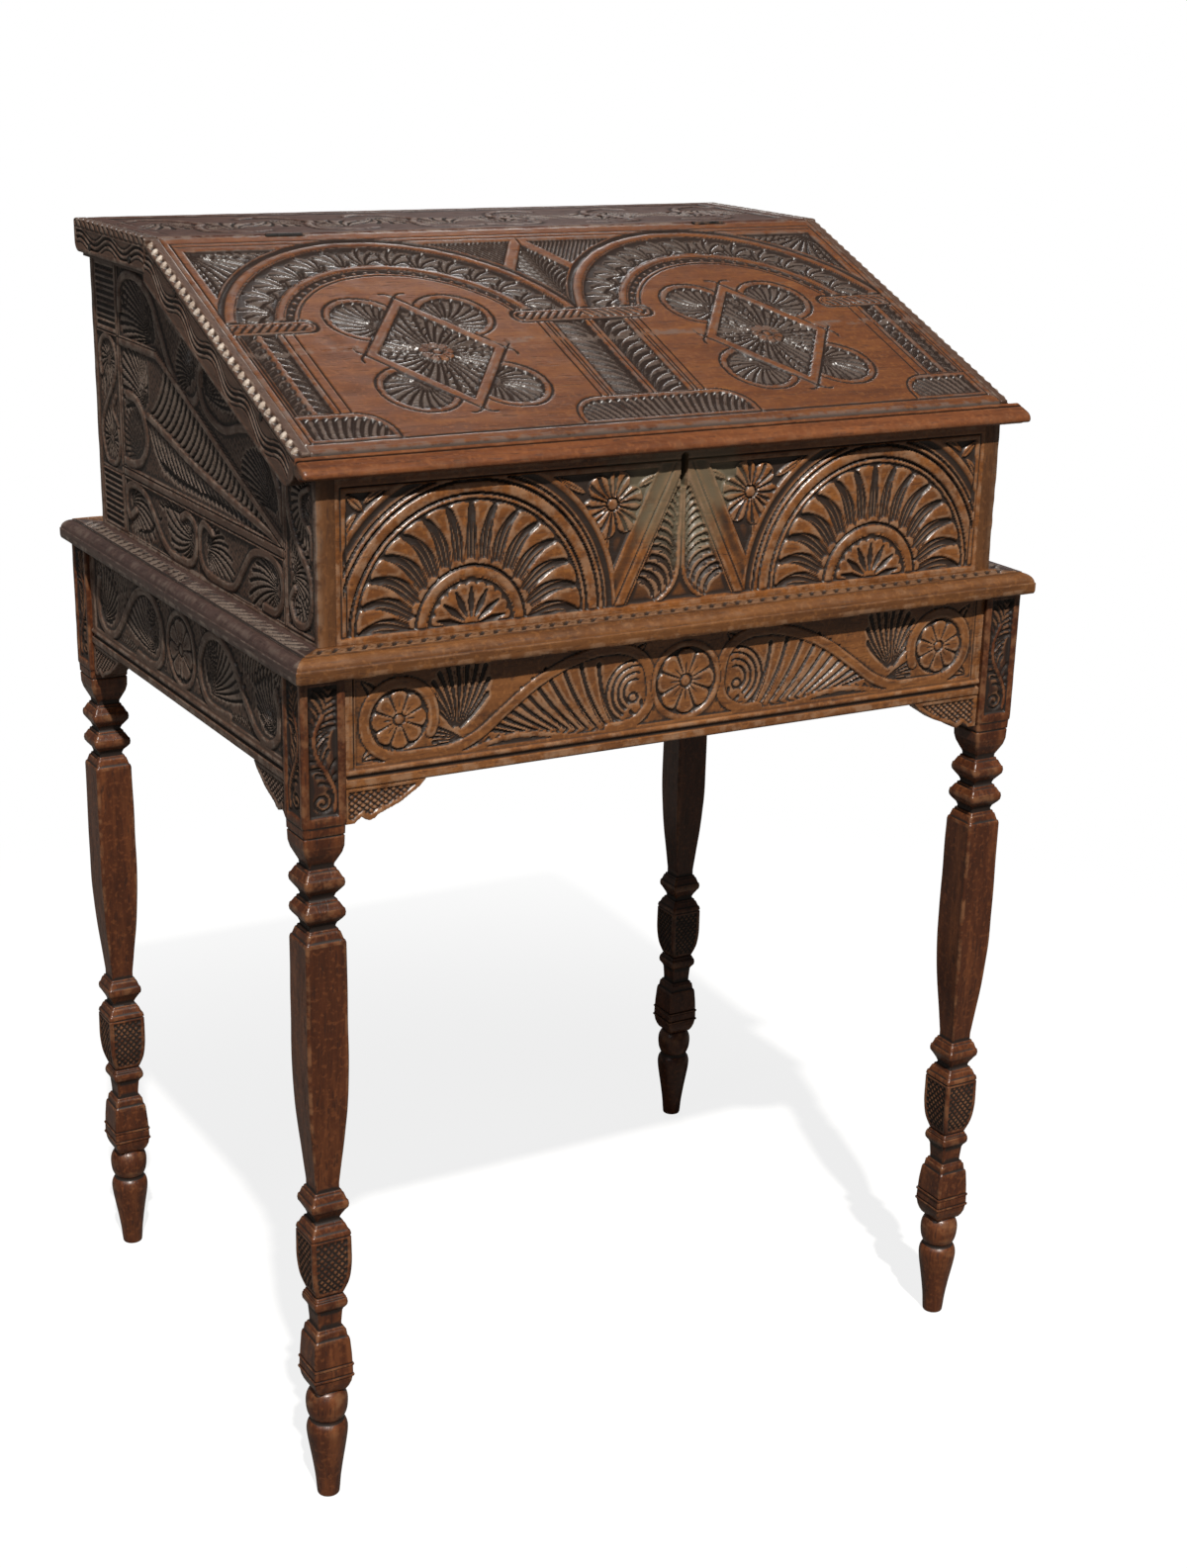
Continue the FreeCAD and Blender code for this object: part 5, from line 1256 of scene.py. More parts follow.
def carve_upper_leaves(wood):
    """Leaves over the long slanting band, under the lid."""
    top = side_top(wood.u)
    slant = wood.left_of((160, 171), (427, 66))
    level = wood.v - 176
    field = least(top - 3.5 - wood.v, np.where(wood.u < 160, level, slant - 4.0), wood.u - REAR_STRIP - 4)
    field = np.minimum(field, FRONT_STRIP - 3 - wood.u)
    wood.sink_field(field, 1.7, 1.5)
    wood.even_fan((158, 182), 108, 186, (42, 50, 58, 66, 74, 80, 84, 86, 84, 78, 70, 60), 20, 4.8, 1.9, 4)
    wood.groove(ring((84, 210), 6, 16), 3.0, 1.8)
    wood.feathers(smooth_path((176, 226), (216, 214), (262, 196)), 12, (22, 26, 18), -70, 60, 4.6, 1.9)
    wood.even_fan((242, 160), 60, 190, [34] * 12, 40, 4.2, 1.8, 5)
    wood.even_fan((262, 158), -16, 72, (60, 62, 58, 50, 42, 36, 32, 28, 26, 24), 26, 4.8, 1.9, 6)
    wood.feathers(smooth_path((276, 150), (330, 146), (372, 132)), 12, (26, 30, 18), 62, -40, 3.6, 1.6)
    wood.even_fan((414, 86), 92, 168, (30, 34, 40, 46, 54, 60, 66, 70, 72, 70, 62, 50), 26, 4.8, 1.9, 4)
    wood.feathers(smooth_path((380, 146), (410, 132), (424, 112)), 7, (14, 18, 10), -60, -50, 3.4, 1.6)
    wood.ribbon(smooth_path((70, 200), (73, 220), (92, 231), (124, 229), (150, 216), (170, 193), (190, 168),
                            (214, 150), (244, 146), (260, 162), (260, 186), (242, 201), (220, 198)), 8.0,
                0.0)
    wood.ribbon(smooth_path((268, 186), (258, 168), (264, 149), (284, 138), (312, 134), (344, 141),
                            (374, 142), (402, 127), (420, 104), (424, 84)), 7.4, 0.0)
    wood.free()


def carve_front_strip(wood):
    """Leaf scroll in the strip at the front of the side."""
    top = side_top(wood.u)
    field = np.minimum(wood.in_box((FRONT_STRIP + 3.5, 5), (482.5, 300)), top - 4 - wood.v)
    wood.sink_field(field, 1.7, 1.5)
    wood.even_fan((474, 104), 98, 268, [28] * 11, 34, 4.0, 1.8, 5)
    wood.even_fan((440, 44), -92, 96, [34] * 12, -34, 4.0, 1.8, 5)
    wood.fan((460, 20), np.arange(0, 360, 40), [13] * 9, 50, 3.4, 1.6, 3)
    wood.ribbon(smooth_path((436, 124), (434, 106), (442, 84), (458, 66), (474, 52), (479, 30), (468, 12),
                            (448, 10), (438, 24), (446, 36)), 6.4, 0.0)
    wood.ribbon(smooth_path((476, 118), (460, 110), (462, 94), (478, 84), (480, 66)), 5.0, 0.2)
    wood.free()


def carve_side(wood):
    carve_rear_strip(wood)
    carve_low_wave(wood)
    carve_long_leaf(wood)
    carve_upper_leaves(wood)
    carve_front_strip(wood)
    band = np.array([(REAR_STRIP, 172), (158, 172), (172, 167), (427, 66)], float)
    for path, width in ((band, 7.0), (np.array([(REAR_STRIP, 58.8), (427.0, 58.8)]), 7.6)):
        near, distance, _, _, _ = wood.along(path, width + 1.6)
        line = held(1 - np.abs(distance - width / 2) / 0.9) * 1.8
        wood.depth[near] = np.where(distance < width / 2 - 0.6, line,
                                       np.maximum(wood.depth[near], line))
    for u in (9.0, 61.2, REAR_STRIP + 2.6, FRONT_STRIP - 2.2, FRONT_STRIP + 2.6, 483.5):
        wood.line((u, 2.0), (u, 250.0), 1.7, 1.5)
    for height in (54.5, 176.5):
        wood.line((9.0, height), (61.0, height), 1.6, 1.3)
    wood.line((9.0, 2.6), (483.5, 2.6), 1.6, 1.2)
    wood.depth *= eased((side_top(wood.u) - wood.v) / 2.0)


def side_piece(name, side, seed):
    """Carved side board: its skin, and the inner layer round the grooves for its neighbours."""
    across, up = grid(SIDE_DEPTH, 255, 1.17)
    u = across * SIDE_DEPTH
    v = up * side_top(u)
    if side > 0:
        u, v = u[:, ::-1], v[:, ::-1]
    wood = Carving(u, v, FINER)
    carve_side(wood)
    inside = least(u, SIDE_DEPTH - u, side_top(u) - v)
    depth = hand_made(wood, inside, seed).reshape(u.shape)
    y = BOX_BACK - u
    face = np.stack([side * (BOX_HALF - depth), y, BOX_FLOOR + v], -1) * MM
    inner = BOX_HALF - BOARD_THICKNESS + TONGUE
    behind = np.stack([np.full(u.shape, side * inner), y, BOX_FLOOR + v], -1) * MM
    x = side * inner

    def layer(points):
        return prism([(x, place, BOX_FLOOR + height) for place, height in points], (-side * TONGUE, 0, 0))

    def top(place):
        return side_top(BOX_BACK - place)

    tongue_front = BOX_FRONT + BOARD_THICKNESS - TONGUE_THICKNESS
    inner_front = BOX_FRONT + BOARD_THICKNESS
    inner_back = BOX_BACK - BOARD_THICKNESS
    tongue_back = inner_back + TONGUE_THICKNESS
    joint = BREAK_Y + LID_THICKNESS * math.tan(SLOPE_ANGLE / 2)
    layers = [layer([(BOX_FRONT, 0), (tongue_front, 0), (tongue_front, top(tongue_front)),
                     (BOX_FRONT, top(BOX_FRONT))]),
              layer([(tongue_front, 0), (tongue_back, 0), (tongue_back, BOTTOM_LOW),
                     (tongue_front, BOTTOM_LOW)]),
              layer([(inner_front, BOTTOM_HIGH), (inner_back, BOTTOM_HIGH), (inner_back, top(inner_back)),
                     (joint, top(inner_back)), (joint - 1, top(joint - 1)), (inner_front, top(inner_front))]),
              layer([(tongue_back, 0), (BOX_BACK, 0), (BOX_BACK, top(BOX_BACK)),
                     (tongue_back, top(tongue_back))])]
    return slab(name, face, behind, depth.ravel(), layers)


def dress_side(piece, node):
    """Gives a side board its darker finish, painted shade, and its front edge a browner finish of its own."""
    dress(piece, "side_oak", "box", "side_oak", node)
    polygons = piece.data.polygons
    at_front = triples(polygons, "center")[:, 1] < (BOX_FRONT + 1.5) * MM
    finish_some(piece, "stile_oak", at_front & (triples(polygons, "normal")[:, 1] < -0.9))


dress_side(side_piece("box_left_side_board", -1, 21), "box_side_left")
dress_side(side_piece("box_right_side_board", 1, 24), "box_side_right")


# The aprons. Their carving is laid out from the middle of their length, and up from their foot.

APRON_FOOT = 15.5
APRON_FIELD = 16.7
ROSETTE_UP = 49.5
APRON_BEAD_LOW, APRON_BEAD_HIGH = 9.5, 15.0
APRON_QUIRK_LOW, APRON_QUIRK_DEPTH = 6.5, 2.5
APRON_SUNK = 1.375
APRON_THICKNESS = 20.0
TENON_LENGTH = 17.6
TENON_HALF = 4.0
TENON_LOW, TENON_HIGH = 16.8, 76.8


def apron_field(wood, end, ground):
    """Sinks the carved field of an apron, from its middle to an end."""
    wood.sink_field(wood.in_box((-5, APRON_FIELD), (end, 200)), ground, 1.4)


def carve_front_apron(wood):
    """Scroll bands round rosettes, with leaf between them."""
    apron_field(wood, 297.0, 0.9)
    for corner, headings in (((36, 20), (20, 60, 100)), ((292, 20), (120, 150, 175)), ((292, 84), (200, 230)),
                             ((38, 86), (-20, -60))):
        wood.fan(corner, headings, [17] * len(headings), 24, 3.0, 1.6, 2)
    marks = np.linspace(0, 1, 11)
    base = path_spots(smooth_path((64, 18.5), (92, 20), (124, 24), (156, 25)), marks)
    for share, (root, _) in zip(marks, base):
        length = np.interp(share, (0, 0.25, 0.5, 0.75, 1), (58, 70, 58, 40, 24))
        start, turn = 56 - 42 * share, 30 - 30 * share
        wood.flute(root, start, length, turn, 3.8, 2.2, 0.35)
        wood.flute(np.array(root) + (3.4, 0.8), start, length * 0.8, turn, 1.7, 0.9, 0.4)
    for radius in (27, 21.5, 16, 10.5):
        wood.groove(arc((48, 46), radius, 104, -56, 20), 3.2, 1.9, 0.4, 1.0)
    wood.groove(ring((50, 41), 4.0, 14), 2.2, 1.5)
    wood.even_fan((210, 33), 56, 142, (30, 36, 42, 46, 50, 54, 56, 56, 52, 44, 34), -18, 4.2, 2.2, 5)
    wood.even_fan((210, 33), 60, 138, (20, 26, 32, 36, 38, 40, 40, 38, 32, 24), -18, 1.8, 0.9, 12)
    wood.even_fan((203, 26), -8, 34, [24] * 6, -14, 3.0, 1.6, 3)
    wood.feathers(smooth_path((206, 18), (168, 21), (128, 19), (90, 17)), 14, (8, 9, 6), -22, -20, 2.2, 1.1)
    wood.ribbon(smooth_path((203, 15), (170, 22.5), (140, 22.5), (108, 16.5), (86, 15)), 5.0, 0.1)
    scroll = np.concatenate([arc((259, ROSETTE_UP), 29.8, 206, -84, 30),
                             smooth_path((240, 19.4), (214, 20), (190, 29), (165, 47), (140, 64), (112, 77),
                                         (82, 84), (56, 82), (39, 70), (33.5, 50), (36, 32), (50, 20.5),
                                         (72, 18))])
    wood.ribbon(scroll, 9.6, 0.0, 1.8, 1.7)
    wood.free()
    wood.keep_to(wood.v - APRON_FIELD)
    for centre, radius, moulded in (((0, ROSETTE_UP), 27.5, True), ((259, ROSETTE_UP), 23.4, False)):
        wood.sink(wood.in_circle(centre, radius + 1.6), 2.6, 1.2)
        if moulded:
            wood.bead(ring(centre, radius + 4.0, 60), 5.2, 0.0, 1.4)
        wood.keep_to(wood.v - APRON_FIELD)
        wood.flower(centre, radius, 8, 0.2, 2.4, 0.17, 22.5)
    wood.free()


def carve_side_apron(wood):
    """Scroll bands with leaf, mirrored about a small flower."""
    apron_field(wood, 219.5, 1.7)
    wood.even_fan((206, 30), 92, 190, (30, 38, 46, 52, 56, 54, 46, 36, 24), -30, 4.6, 1.9, 4)
    wood.feathers(smooth_path((196, 82), (172, 84), (140, 82)), 8, (16, 24, 12), 50, 40, 4.2, 1.8)
    wood.even_fan((58, 30), -2, 92, (84, 80, 72, 64, 56, 50, 46, 42, 38, 34, 30), 26, 4.8, 1.9, 7)
    wood.even_fan((58, 66), -60, 10, [22] * 4, 60, 3.4, 1.7, 3)
    wood.feathers(smooth_path((178, 17), (140, 20), (100, 17)), 12, (10, 12, 8), -24, -22, 2.4, 1.2)
    for corner, headings in (((42, 20), (30, 70, 110)), ((44, 86), (-30, -70)), ((216, 86), (200, 240))):
        wood.fan(corner, headings, [15] * len(headings), 24, 3.0, 1.6, 2)
    wood.ribbon(smooth_path((206, 66), (212, 48), (208, 30), (190, 20), (168, 23), (150, 36), (130, 56),
                            (110, 73), (86, 81), (62, 76), (47, 60), (44, 40), (54, 24), (76, 18.5),
                            (108, 20)), 8.2, 0.0, 1.8, 1.7)
    wood.free()
    wood.keep_to(wood.v - APRON_FIELD)
    wood.sink(wood.in_circle((0, ROSETTE_UP), 28), 2.6, 1.2)
    wood.bead(ring((0, ROSETTE_UP), 31.5, 60), 5.6, 0.0, 1.4)
    wood.keep_to(wood.v - APRON_FIELD)
    wood.flower((0, ROSETTE_UP), 26.5, 8, 0.4, 2.4, 0.18, 10)
    wood.free()


def apron_piece(name, node, half, face, turn, carve, seed):
    """Carved apron with its moulded lower edge and its tenons, turned to its side of the stand."""
    low = corner_mm(node)[0][2]
    height = corner_mm("leg_front_left")[1][2] - low
    across, up = grid(2 * half, height, 1.05)
    x, v = (across * 2 - 1) * half, up * height
    wood = Carving(np.abs(x), v, 1.0 if carve is carve_front_apron else FINER)
    carve(wood)
    wood.line((half - 8.4, APRON_FOOT + 0.8), (half - 8.4, 200.0), 1.8, 1.4)
    depth = hand_made(wood, np.full(x.shape, FAR_IN), seed).reshape(x.shape)
    middle = (APRON_BEAD_LOW + APRON_BEAD_HIGH) / 2
    radius = (APRON_BEAD_HIGH - APRON_BEAD_LOW) / 2
    rounding = radius - np.sqrt(np.clip(radius ** 2 - (v - middle) ** 2, 0, None))
    moulding = np.where(v < APRON_BEAD_HIGH, np.minimum(rounding, APRON_QUIRK_DEPTH), APRON_SUNK)
    moulding = np.where((v > APRON_QUIRK_LOW) & (v < APRON_BEAD_LOW), APRON_QUIRK_DEPTH, moulding)
    moulding = np.where(v <= APRON_QUIRK_LOW, 1.2 * held(1 - v / 1.6) ** 2, moulding)
    depth = np.where(v > APRON_BEAD_HIGH, depth, 0.25 * held(depth)) + moulding
    quarter = np.array([[(1, 0), (0, 1)], [(0, -1), (1, 0)], [(-1, 0), (0, -1)], [(0, 1), (-1, 0)]][turn])

    def placed(points):
        points = np.array(points, float)
        return np.concatenate([points[..., :2] @ quarter.T, points[..., 2:]], -1)

    front = placed(np.stack([x, face + depth, low + v], -1)) * MM
    behind = placed(np.stack([x, np.full(x.shape, face + APRON_THICKNESS), low + v], -1)) * MM
    tenons = []
    for side in (-1, 1):
        outline = [(side * half, face + APRON_THICKNESS / 2 + y, low + z)
                   for y, z in ((-TENON_HALF, TENON_LOW), (TENON_HALF, TENON_LOW), (TENON_HALF, TENON_HIGH),
                                (-TENON_HALF, TENON_HIGH))]
        tenons.append((placed(outline) * MM, placed([(side * TENON_LENGTH, 0, 0)])[0] * MM))
    # Cut depth darkens the carved field, and the quirk under the bead is darkened outright: grime and painted
    # shade.
    marks = np.where(v > APRON_BEAD_HIGH, depth - moulding, 0.8 * (moulding > 2.0))
    return slab(name, front, behind, marks.ravel(), tenons)


leg_high = corner_mm("leg_front_left")[1]
FRONT_SPAN = -leg_high[0]
SIDE_SPAN = -leg_high[1]
APRON_FACE_Y = corner_mm("front_apron")[0][1]
APRON_FACE_X = corner_mm("left_apron")[0][0]
# The side aprons take the darker copy of the apron's finish, painted shade.
for name, turn, half, face, carve, finish in (
        ("front_apron", 0, FRONT_SPAN, APRON_FACE_Y, carve_front_apron, "apron_oak"),
        ("right_apron", 1, SIDE_SPAN, APRON_FACE_X, carve_side_apron, "side_apron_oak"),
        ("back_apron", 2, FRONT_SPAN, APRON_FACE_Y, carve_front_apron, "apron_oak"),
        ("left_apron", 3, SIDE_SPAN, APRON_FACE_X, carve_side_apron, "side_apron_oak")):
    dress(apron_piece(name + "_carved", name, half, face, turn, carve, 31 + turn), finish, "stand",
          "apron_oak", name)


# Pieces that are worked on a fine mesh of the model's own shape

FACE_TURN, FACE_REACH = 0.8, 4.0


def worked(node, faces, size, waves, seed):
    """Finely meshed copy of a node, carved on some of its faces: facing, right, up, origin, cut."""
    piece = remeshed(node, size)
    mesh = piece.data
    points, normals = triples(mesh.vertices, "co") / MM, triples(mesh.vertices, "normal")
    low, high = corner_mm(node)
    cut = np.zeros(len(points))
    moved = points.copy()
    for facing, right, up, origin, carve in faces:
        facing, right, up = (np.array(way, float) for way in (facing, right, up))
        local = points - np.array(origin, float)
        turned_to = (normals @ facing > FACE_TURN) & (np.abs(local @ facing) < FACE_REACH)
        wood = Carving((local @ right)[turned_to], (local @ up)[turned_to])
        carve(wood)
        moved[turned_to] -= wood.depth[:, None] * facing
        cut[turned_to] = np.maximum(cut[turned_to], held(wood.depth / FULL_CUT))
    wave = unevenness(points[:, 0] + points[:, 2] * 0.6, points[:, 1] - points[:, 2] * 0.8, 30, seed)
    moved -= normals * (waves * np.maximum(wave + 1, 0))[:, None]
    moved = np.clip(moved, low, high)
    mesh.vertices.foreach_set("co", (moved * MM).ravel())
    mesh.update()
    finish_mesh(piece)
    store(mesh, "cut", cut)
    return piece


# The legs. Their carving is laid out from a leg's middle, and up from the floor.

POST_FOOT, POST_TOP = 610.0, 722.0
POST_MARGIN = 5.5
POST_HALF = 18.5


def carve_post(wood):
    """Leaf with a volute at its foot, in the sunk panel of a post."""
    field = wood.in_box((-POST_HALF + POST_MARGIN + 0.8, POST_FOOT + POST_MARGIN + 2),
                           (POST_HALF - POST_MARGIN - 0.8, POST_TOP))
    wood.sink_field(field, 1.2, 1.2)
    stem = smooth_path((8, 640), (5, 652), (-4, 664), (-7, 680), (-1, 696), (5, 712), (4, 730))
    wood.feathers(stem, 17, (12, 20, 18, 12), 34, 42, 3.2, 1.6)
    wood.feathers(stem, 17, (12, 16, 20, 14), -34, -42, 3.2, 1.6)
    spiral = np.array([np.array((-0.5, 629.0)) + (9.0 - 7.0 * t) * turned(60 - 560 * t)
                       for t in np.linspace(0, 1, 40)])
    wood.groove(spiral, 2.6, 1.6)
    wood.ribbon(smooth_path((9, 622), (10, 636), (3, 652), (-5, 666), (-7, 682), (0, 698)), 4.0, 0.2, 1.4)
    wood.free()


SHAFT_TOP = 610.5
SHAFT_STEP = 1.4
SIDE_POINTS = 30
BALL_TOP = 105.0


def collar(high, low, neck, widest):
    """Section of a square collar: a fillet, a slope up to its band, and a hollow back to the neck."""
    middle = (high + low) / 2 + 0.6
    return [(high, neck), (high - 0.4, neck + 1.4), (high - 2.3, neck + 1.8), (high - 2.8, neck + 2.8),
            (middle + 3.8, widest - 1.4), (middle + 3.2, widest - 0.5), (middle, widest),
            (middle - 2.8, widest - 0.4), (middle - 5.2, widest - 2.0), (low + 2.8, neck + 1.1), (low, neck)]


def shoulder(high, low, neck, width):
    """Section of the fillet and slope that a square block starts with."""
    return [(high, neck), (high - 0.3, neck + 1.5), (high - 2.2, neck + 2.0), (high - 2.7, neck + 3.0),
            (low + 2.0, width - 1.5), (low + 1.5, width - 0.6), (low - 0.8, width)]


def shaft_section():
    """Heights from the floor and half widths of a leg below its post, from the top down."""
    post_foot = [(SHAFT_TOP, 18.2), (609.6, 17.8), (602.6, 17.6), (602.0, 16.8), (601.3, 16.8), (600.7, 17.4),
                 (592.5, 17.1), (587.0, 15.7), (581.0, 12.8), (577.0, 10.8)]
    block = smooth_path((510.5, 17.4), (455.0, 17.7), (402.0, 17.7), (372.0, 16.7), (347.0, 15.0),
                        (322.0, 12.6), (299.5, 10.5)).tolist()
    hatched = smooth_path((251.6, 17.7), (240.0, 17.8), (225.0, 17.6), (210.0, 15.9),
                          (198.4, 12.3)).tolist()
    lower = [(152.0, 16.0), (140.0, 16.9), (132.4, 17.2), (131.8, 16.5), (131.2, 18.2), (129.9, 18.2),
             (129.4, 16.7), (128.8, 17.4), (122.2, 17.6), (121.6, 16.9), (121.0, 18.5), (119.7, 18.4),
             (119.2, 16.8), (118.6, 17.3), (113.5, 16.5), (109.0, 14.9), (106.0, 13.2),
             (BALL_TOP + 0.2, 12.4)]
    ball = smooth_path((BALL_TOP, 12.4), (102.5, 15.0), (97.0, 17.4), (90.5, 17.9), (83.0, 17.0),
                       (77.6, 15.0), count=5).tolist()
    vase = smooth_path((73.6, 14.9), (70.5, 16.8), (65.0, 17.8), (56.7, 17.1), (46.0, 15.4), (32.0, 13.1),
                       (16.8, 11.0), (6.3, 10.1), (1.0, 9.6)).tolist()
    knots = (post_foot + collar(574.0, 549.5, 10.5, 17.2) + collar(548.0, 525.5, 11.0, 17.5)
             + shoulder(523.4, 512.4, 11.0, 17.4) + block + collar(293.8, 268.0, 10.5, 16.6)
             + shoulder(265.8, 255.8, 11.0, 17.6) + [(253.6, 17.7), (253.1, 17.0), (252.4, 17.0)] + hatched
             + collar(197.2, 181.0, 11.2, 15.0) + [(170.0, 10.4)] + shoulder(166.0, 154.8, 10.4, 15.8)
             + lower + ball + [(77.2, 14.2), (74.2, 14.2)] + vase + [(0.0, 9.1)])
    rows = [knots[0]]
    for (high, wide), (low, narrow) in zip(knots, knots[1:]):
        count = max(1, math.ceil((high - low) / SHAFT_STEP))
        rows += [(high + (low - high) * n / count, wide + (narrow - wide) * n / count)
                 for n in range(1, count + 1)]
    return np.array(rows)


def carve_shaft(wood, half):
    """Crossed lines inside a plain border on the swelling block."""
    field = np.minimum(half - 3.4 - np.abs(wood.u), np.minimum(wood.v - 201.0, 250.4 - wood.v))
    wood.sink(field, 0.5, 0.8)
    wood.lattice(field - 0.4, 6.0, 1.2, 1.15)


def shaft_mesh(middle, seed):
    """Points, faces and depths of a leg below its post: square down to the ball, round below it."""
    rows = shaft_section()
    height, half = rows[:, :1], rows[:, 1:]
    share = np.linspace(-1, 1, SIDE_POINTS + 1)[None, :-1]
    rounded = height <= BALL_TOP
    sides, depths = [], []
    for quarter in range(4):
        wood = Carving(share * half, height + 0 * share)
        carve_shaft(wood, (half + 0 * share).ravel())
        depth = wood.depth.reshape(wood.depth.size // SIDE_POINTS, SIDE_POINTS)
        ahead = half - depth * ~rounded
        across = share * half
        corner = 1 - 0.6 / half * (share == -1)
        level = np.stack([np.where(rounded, half / np.sqrt(1 + share ** 2), ahead * corner),
                          np.where(rounded, half * share / np.sqrt(1 + share ** 2), across * corner)], -1)
        turn = turned(90.0 * quarter)
        sides.append(np.stack([level[..., 0] * turn[0] - level[..., 1] * turn[1],
                               level[..., 0] * turn[1] + level[..., 1] * turn[0]], -1))
        depths.append(depth)
    flat = np.concatenate(sides, axis=1)
    depth = np.concatenate(depths, axis=1)
    wave = unevenness(flat[..., 0] + height * 0.4, flat[..., 1] - height * 0.3, 34, seed)
    flat *= (1 - 0.008 * np.maximum(wave + 0.6, 0))[..., None]
    count, size = depth.shape
    points = np.concatenate([flat + middle[:2], np.broadcast_to(height, depth.shape)[..., None]], -1) * MM
    index = np.arange(count * size).reshape(count, size)
    return points.reshape(-1, 3).tolist(), tube_faces(index), held(depth.ravel() / FULL_CUT)


def leg_piece(node, side_x, side_y, seed):
    """One leg: the post worked on the model's own shape, above a shaft with crisp mouldings."""
    low, high = corner_mm(node)
    middle = (low + high) / 2
    faces = []
    for facing, right in (((side_x, 0, 0), (0, 1, 0)), ((0, side_y, 0), (1, 0, 0))):
        origin = (middle[0] + facing[0] * POST_HALF, middle[1] + facing[1] * POST_HALF, 0)
        faces.append((facing, right, (0, 0, 1), origin, carve_post))
    piece = worked(node, faces, 1.2, 0.10, seed)
    work = bmesh.new()
    work.from_mesh(piece.data)
    bmesh.ops.bisect_plane(work, geom=work.verts[:] + work.edges[:] + work.faces[:],
                           plane_co=(0, 0, SHAFT_TOP * MM), plane_no=(0, 0, -1), clear_outer=True)
    bmesh.ops.edgeloop_fill(work, edges=[edge for edge in work.edges if edge.is_boundary])
    work.verts.index_update()
    layer = work.verts.layers.float["cut"]
    points = [tuple(vertex.co) for vertex in work.verts]
    cuts = [vertex[layer] for vertex in work.verts]
    kept = [[vertex.index for vertex in face.verts] for face in work.faces]
    work.free()
    more_points, more_faces, depths = shaft_mesh(middle, seed)
    kept += [[len(points) + number for number in face] for face in more_faces]
    bpy.data.meshes.remove(piece.data)
    piece = closed_piece(node + "_turned", points + more_points, kept)
    finish_mesh(piece)
    store(piece.data, "cut", np.concatenate([cuts, depths]))
    return piece


for number, (node, side_x, side_y) in enumerate((("leg_front_left", -1, -1), ("leg_back_left", -1, 1),
                                                 ("leg_front_right", 1, -1), ("leg_back_right", 1, 1))):
    dress(leg_piece(node, side_x, side_y, 41 + number), "leg_oak", "stand", "leg_oak", node)


# The brackets, the ledge's caps, the lid's cleats and its nosing

def carve_bracket(wood):
    """Crossed lines inside a plain rim."""
    near, distance, _, _, _ = wood.along(np.array(
        [(0, 0), (0, -29), (8, -29), (14, -24), (21, -27.5), (27.5, -24), (47, -17), (63, -6.5), (66.5, -3.5),
         (70, 0), (0, 0)], float), 60)
    inside = np.zeros(wood.u.size)
    inside[near] = distance
    wood.sink(inside - 2.6, 0.5, 1.0)
    wood.lattice(inside - 3.0, 6.4, 1.5, 0.8)


for node in nodes:
    if not node.startswith("bracket_") or node == "bracket_nails":
        continue
    low, high = corner_mm(node)
    middle = (low + high) / 2
    axis = 0 if abs(middle[1]) > abs(middle[0]) * TOP_HALF[1] / TOP_HALF[0] else 1
    facing = np.zeros(3)
    facing[1 - axis] = np.sign(middle[1 - axis])
    right = np.zeros(3)
    right[axis] = -np.sign(middle[axis])
    origin = np.where(middle > 0, high, low)
    origin[2] = high[2]
    # Brackets on the sides take the darker copy of the apron's finish, painted shade.
    dress(worked(node, [(facing, right, (0, 0, 1), origin, carve_bracket)], 1.0, 0.05, 3),
          "apron_oak" if axis == 0 else "side_apron_oak", "stand", "apron_oak", node)


def wave_lines(wood, length, middle, swing, pitch, field):
    """Double wave with a fine line along each side of it."""
    wood.sink_field(field, 0.5, 1.2)
    run = np.linspace(-pitch, length + pitch, int(length / 2))
    wave = middle + swing * np.sin(run / pitch * math.tau)
    for offset, width, depth in ((-7.0, 1.6, 0.9), (-2.6, 2.7, 2.0), (2.6, 2.7, 2.0), (7.0, 1.6, 0.9)):
        wood.groove(np.stack([run, wave + offset], -1), width, depth)
    wood.free()


CAP_DEPTH = 28.0
CLEAT_DEPTH = 36.0
NULL_STARTS = np.arange(2, 178, 12.2)
DOWN_SLOPE = np.array([0, -math.cos(SLOPE_ANGLE), -math.sin(SLOPE_ANGLE)])
OFF_SLOPE = np.array([0, -math.sin(SLOPE_ANGLE), math.cos(SLOPE_ANGLE)])


def carve_cap(wood):
    """Wave on the end of the ledge, from the break back, measured down from its top."""
    wave_lines(wood, 180.0, -17.0, 4.6, 74.0, wood.in_box((3, -CAP_DEPTH + 3), (176, -8)))
    for start in NULL_STARTS:
        wood.line((start, -5.6), (start + 7.0, 0.5), 3.4, 1.9)
    wood.line((0, -7.0), (180, -7.0), 1.4, 1.0)


def carve_cap_top(wood):
    """Slanting nulls along the outer upper edge of a cap."""
    for start in NULL_STARTS:
        wood.line((start + 6.5, -0.5), (start + 12.0, 5.2), 3.4, 1.9)


def carve_cleat(wood):
    """Wave on the end of the lid, down the slope from the break, measured down from its face."""
    wave_lines(wood, 336.0, -21.0, 5.8, 72.0, wood.in_box((4, -CLEAT_DEPTH + 3), (322, -9)))
    wood.line((0, -8.2), (336, -8.2), 1.4, 1.0)


BEAD_COUNT, BEAD_RADIUS, BEAD_INSET, BEAD_MARGIN = 30, 3.6, 0.3, 9.0


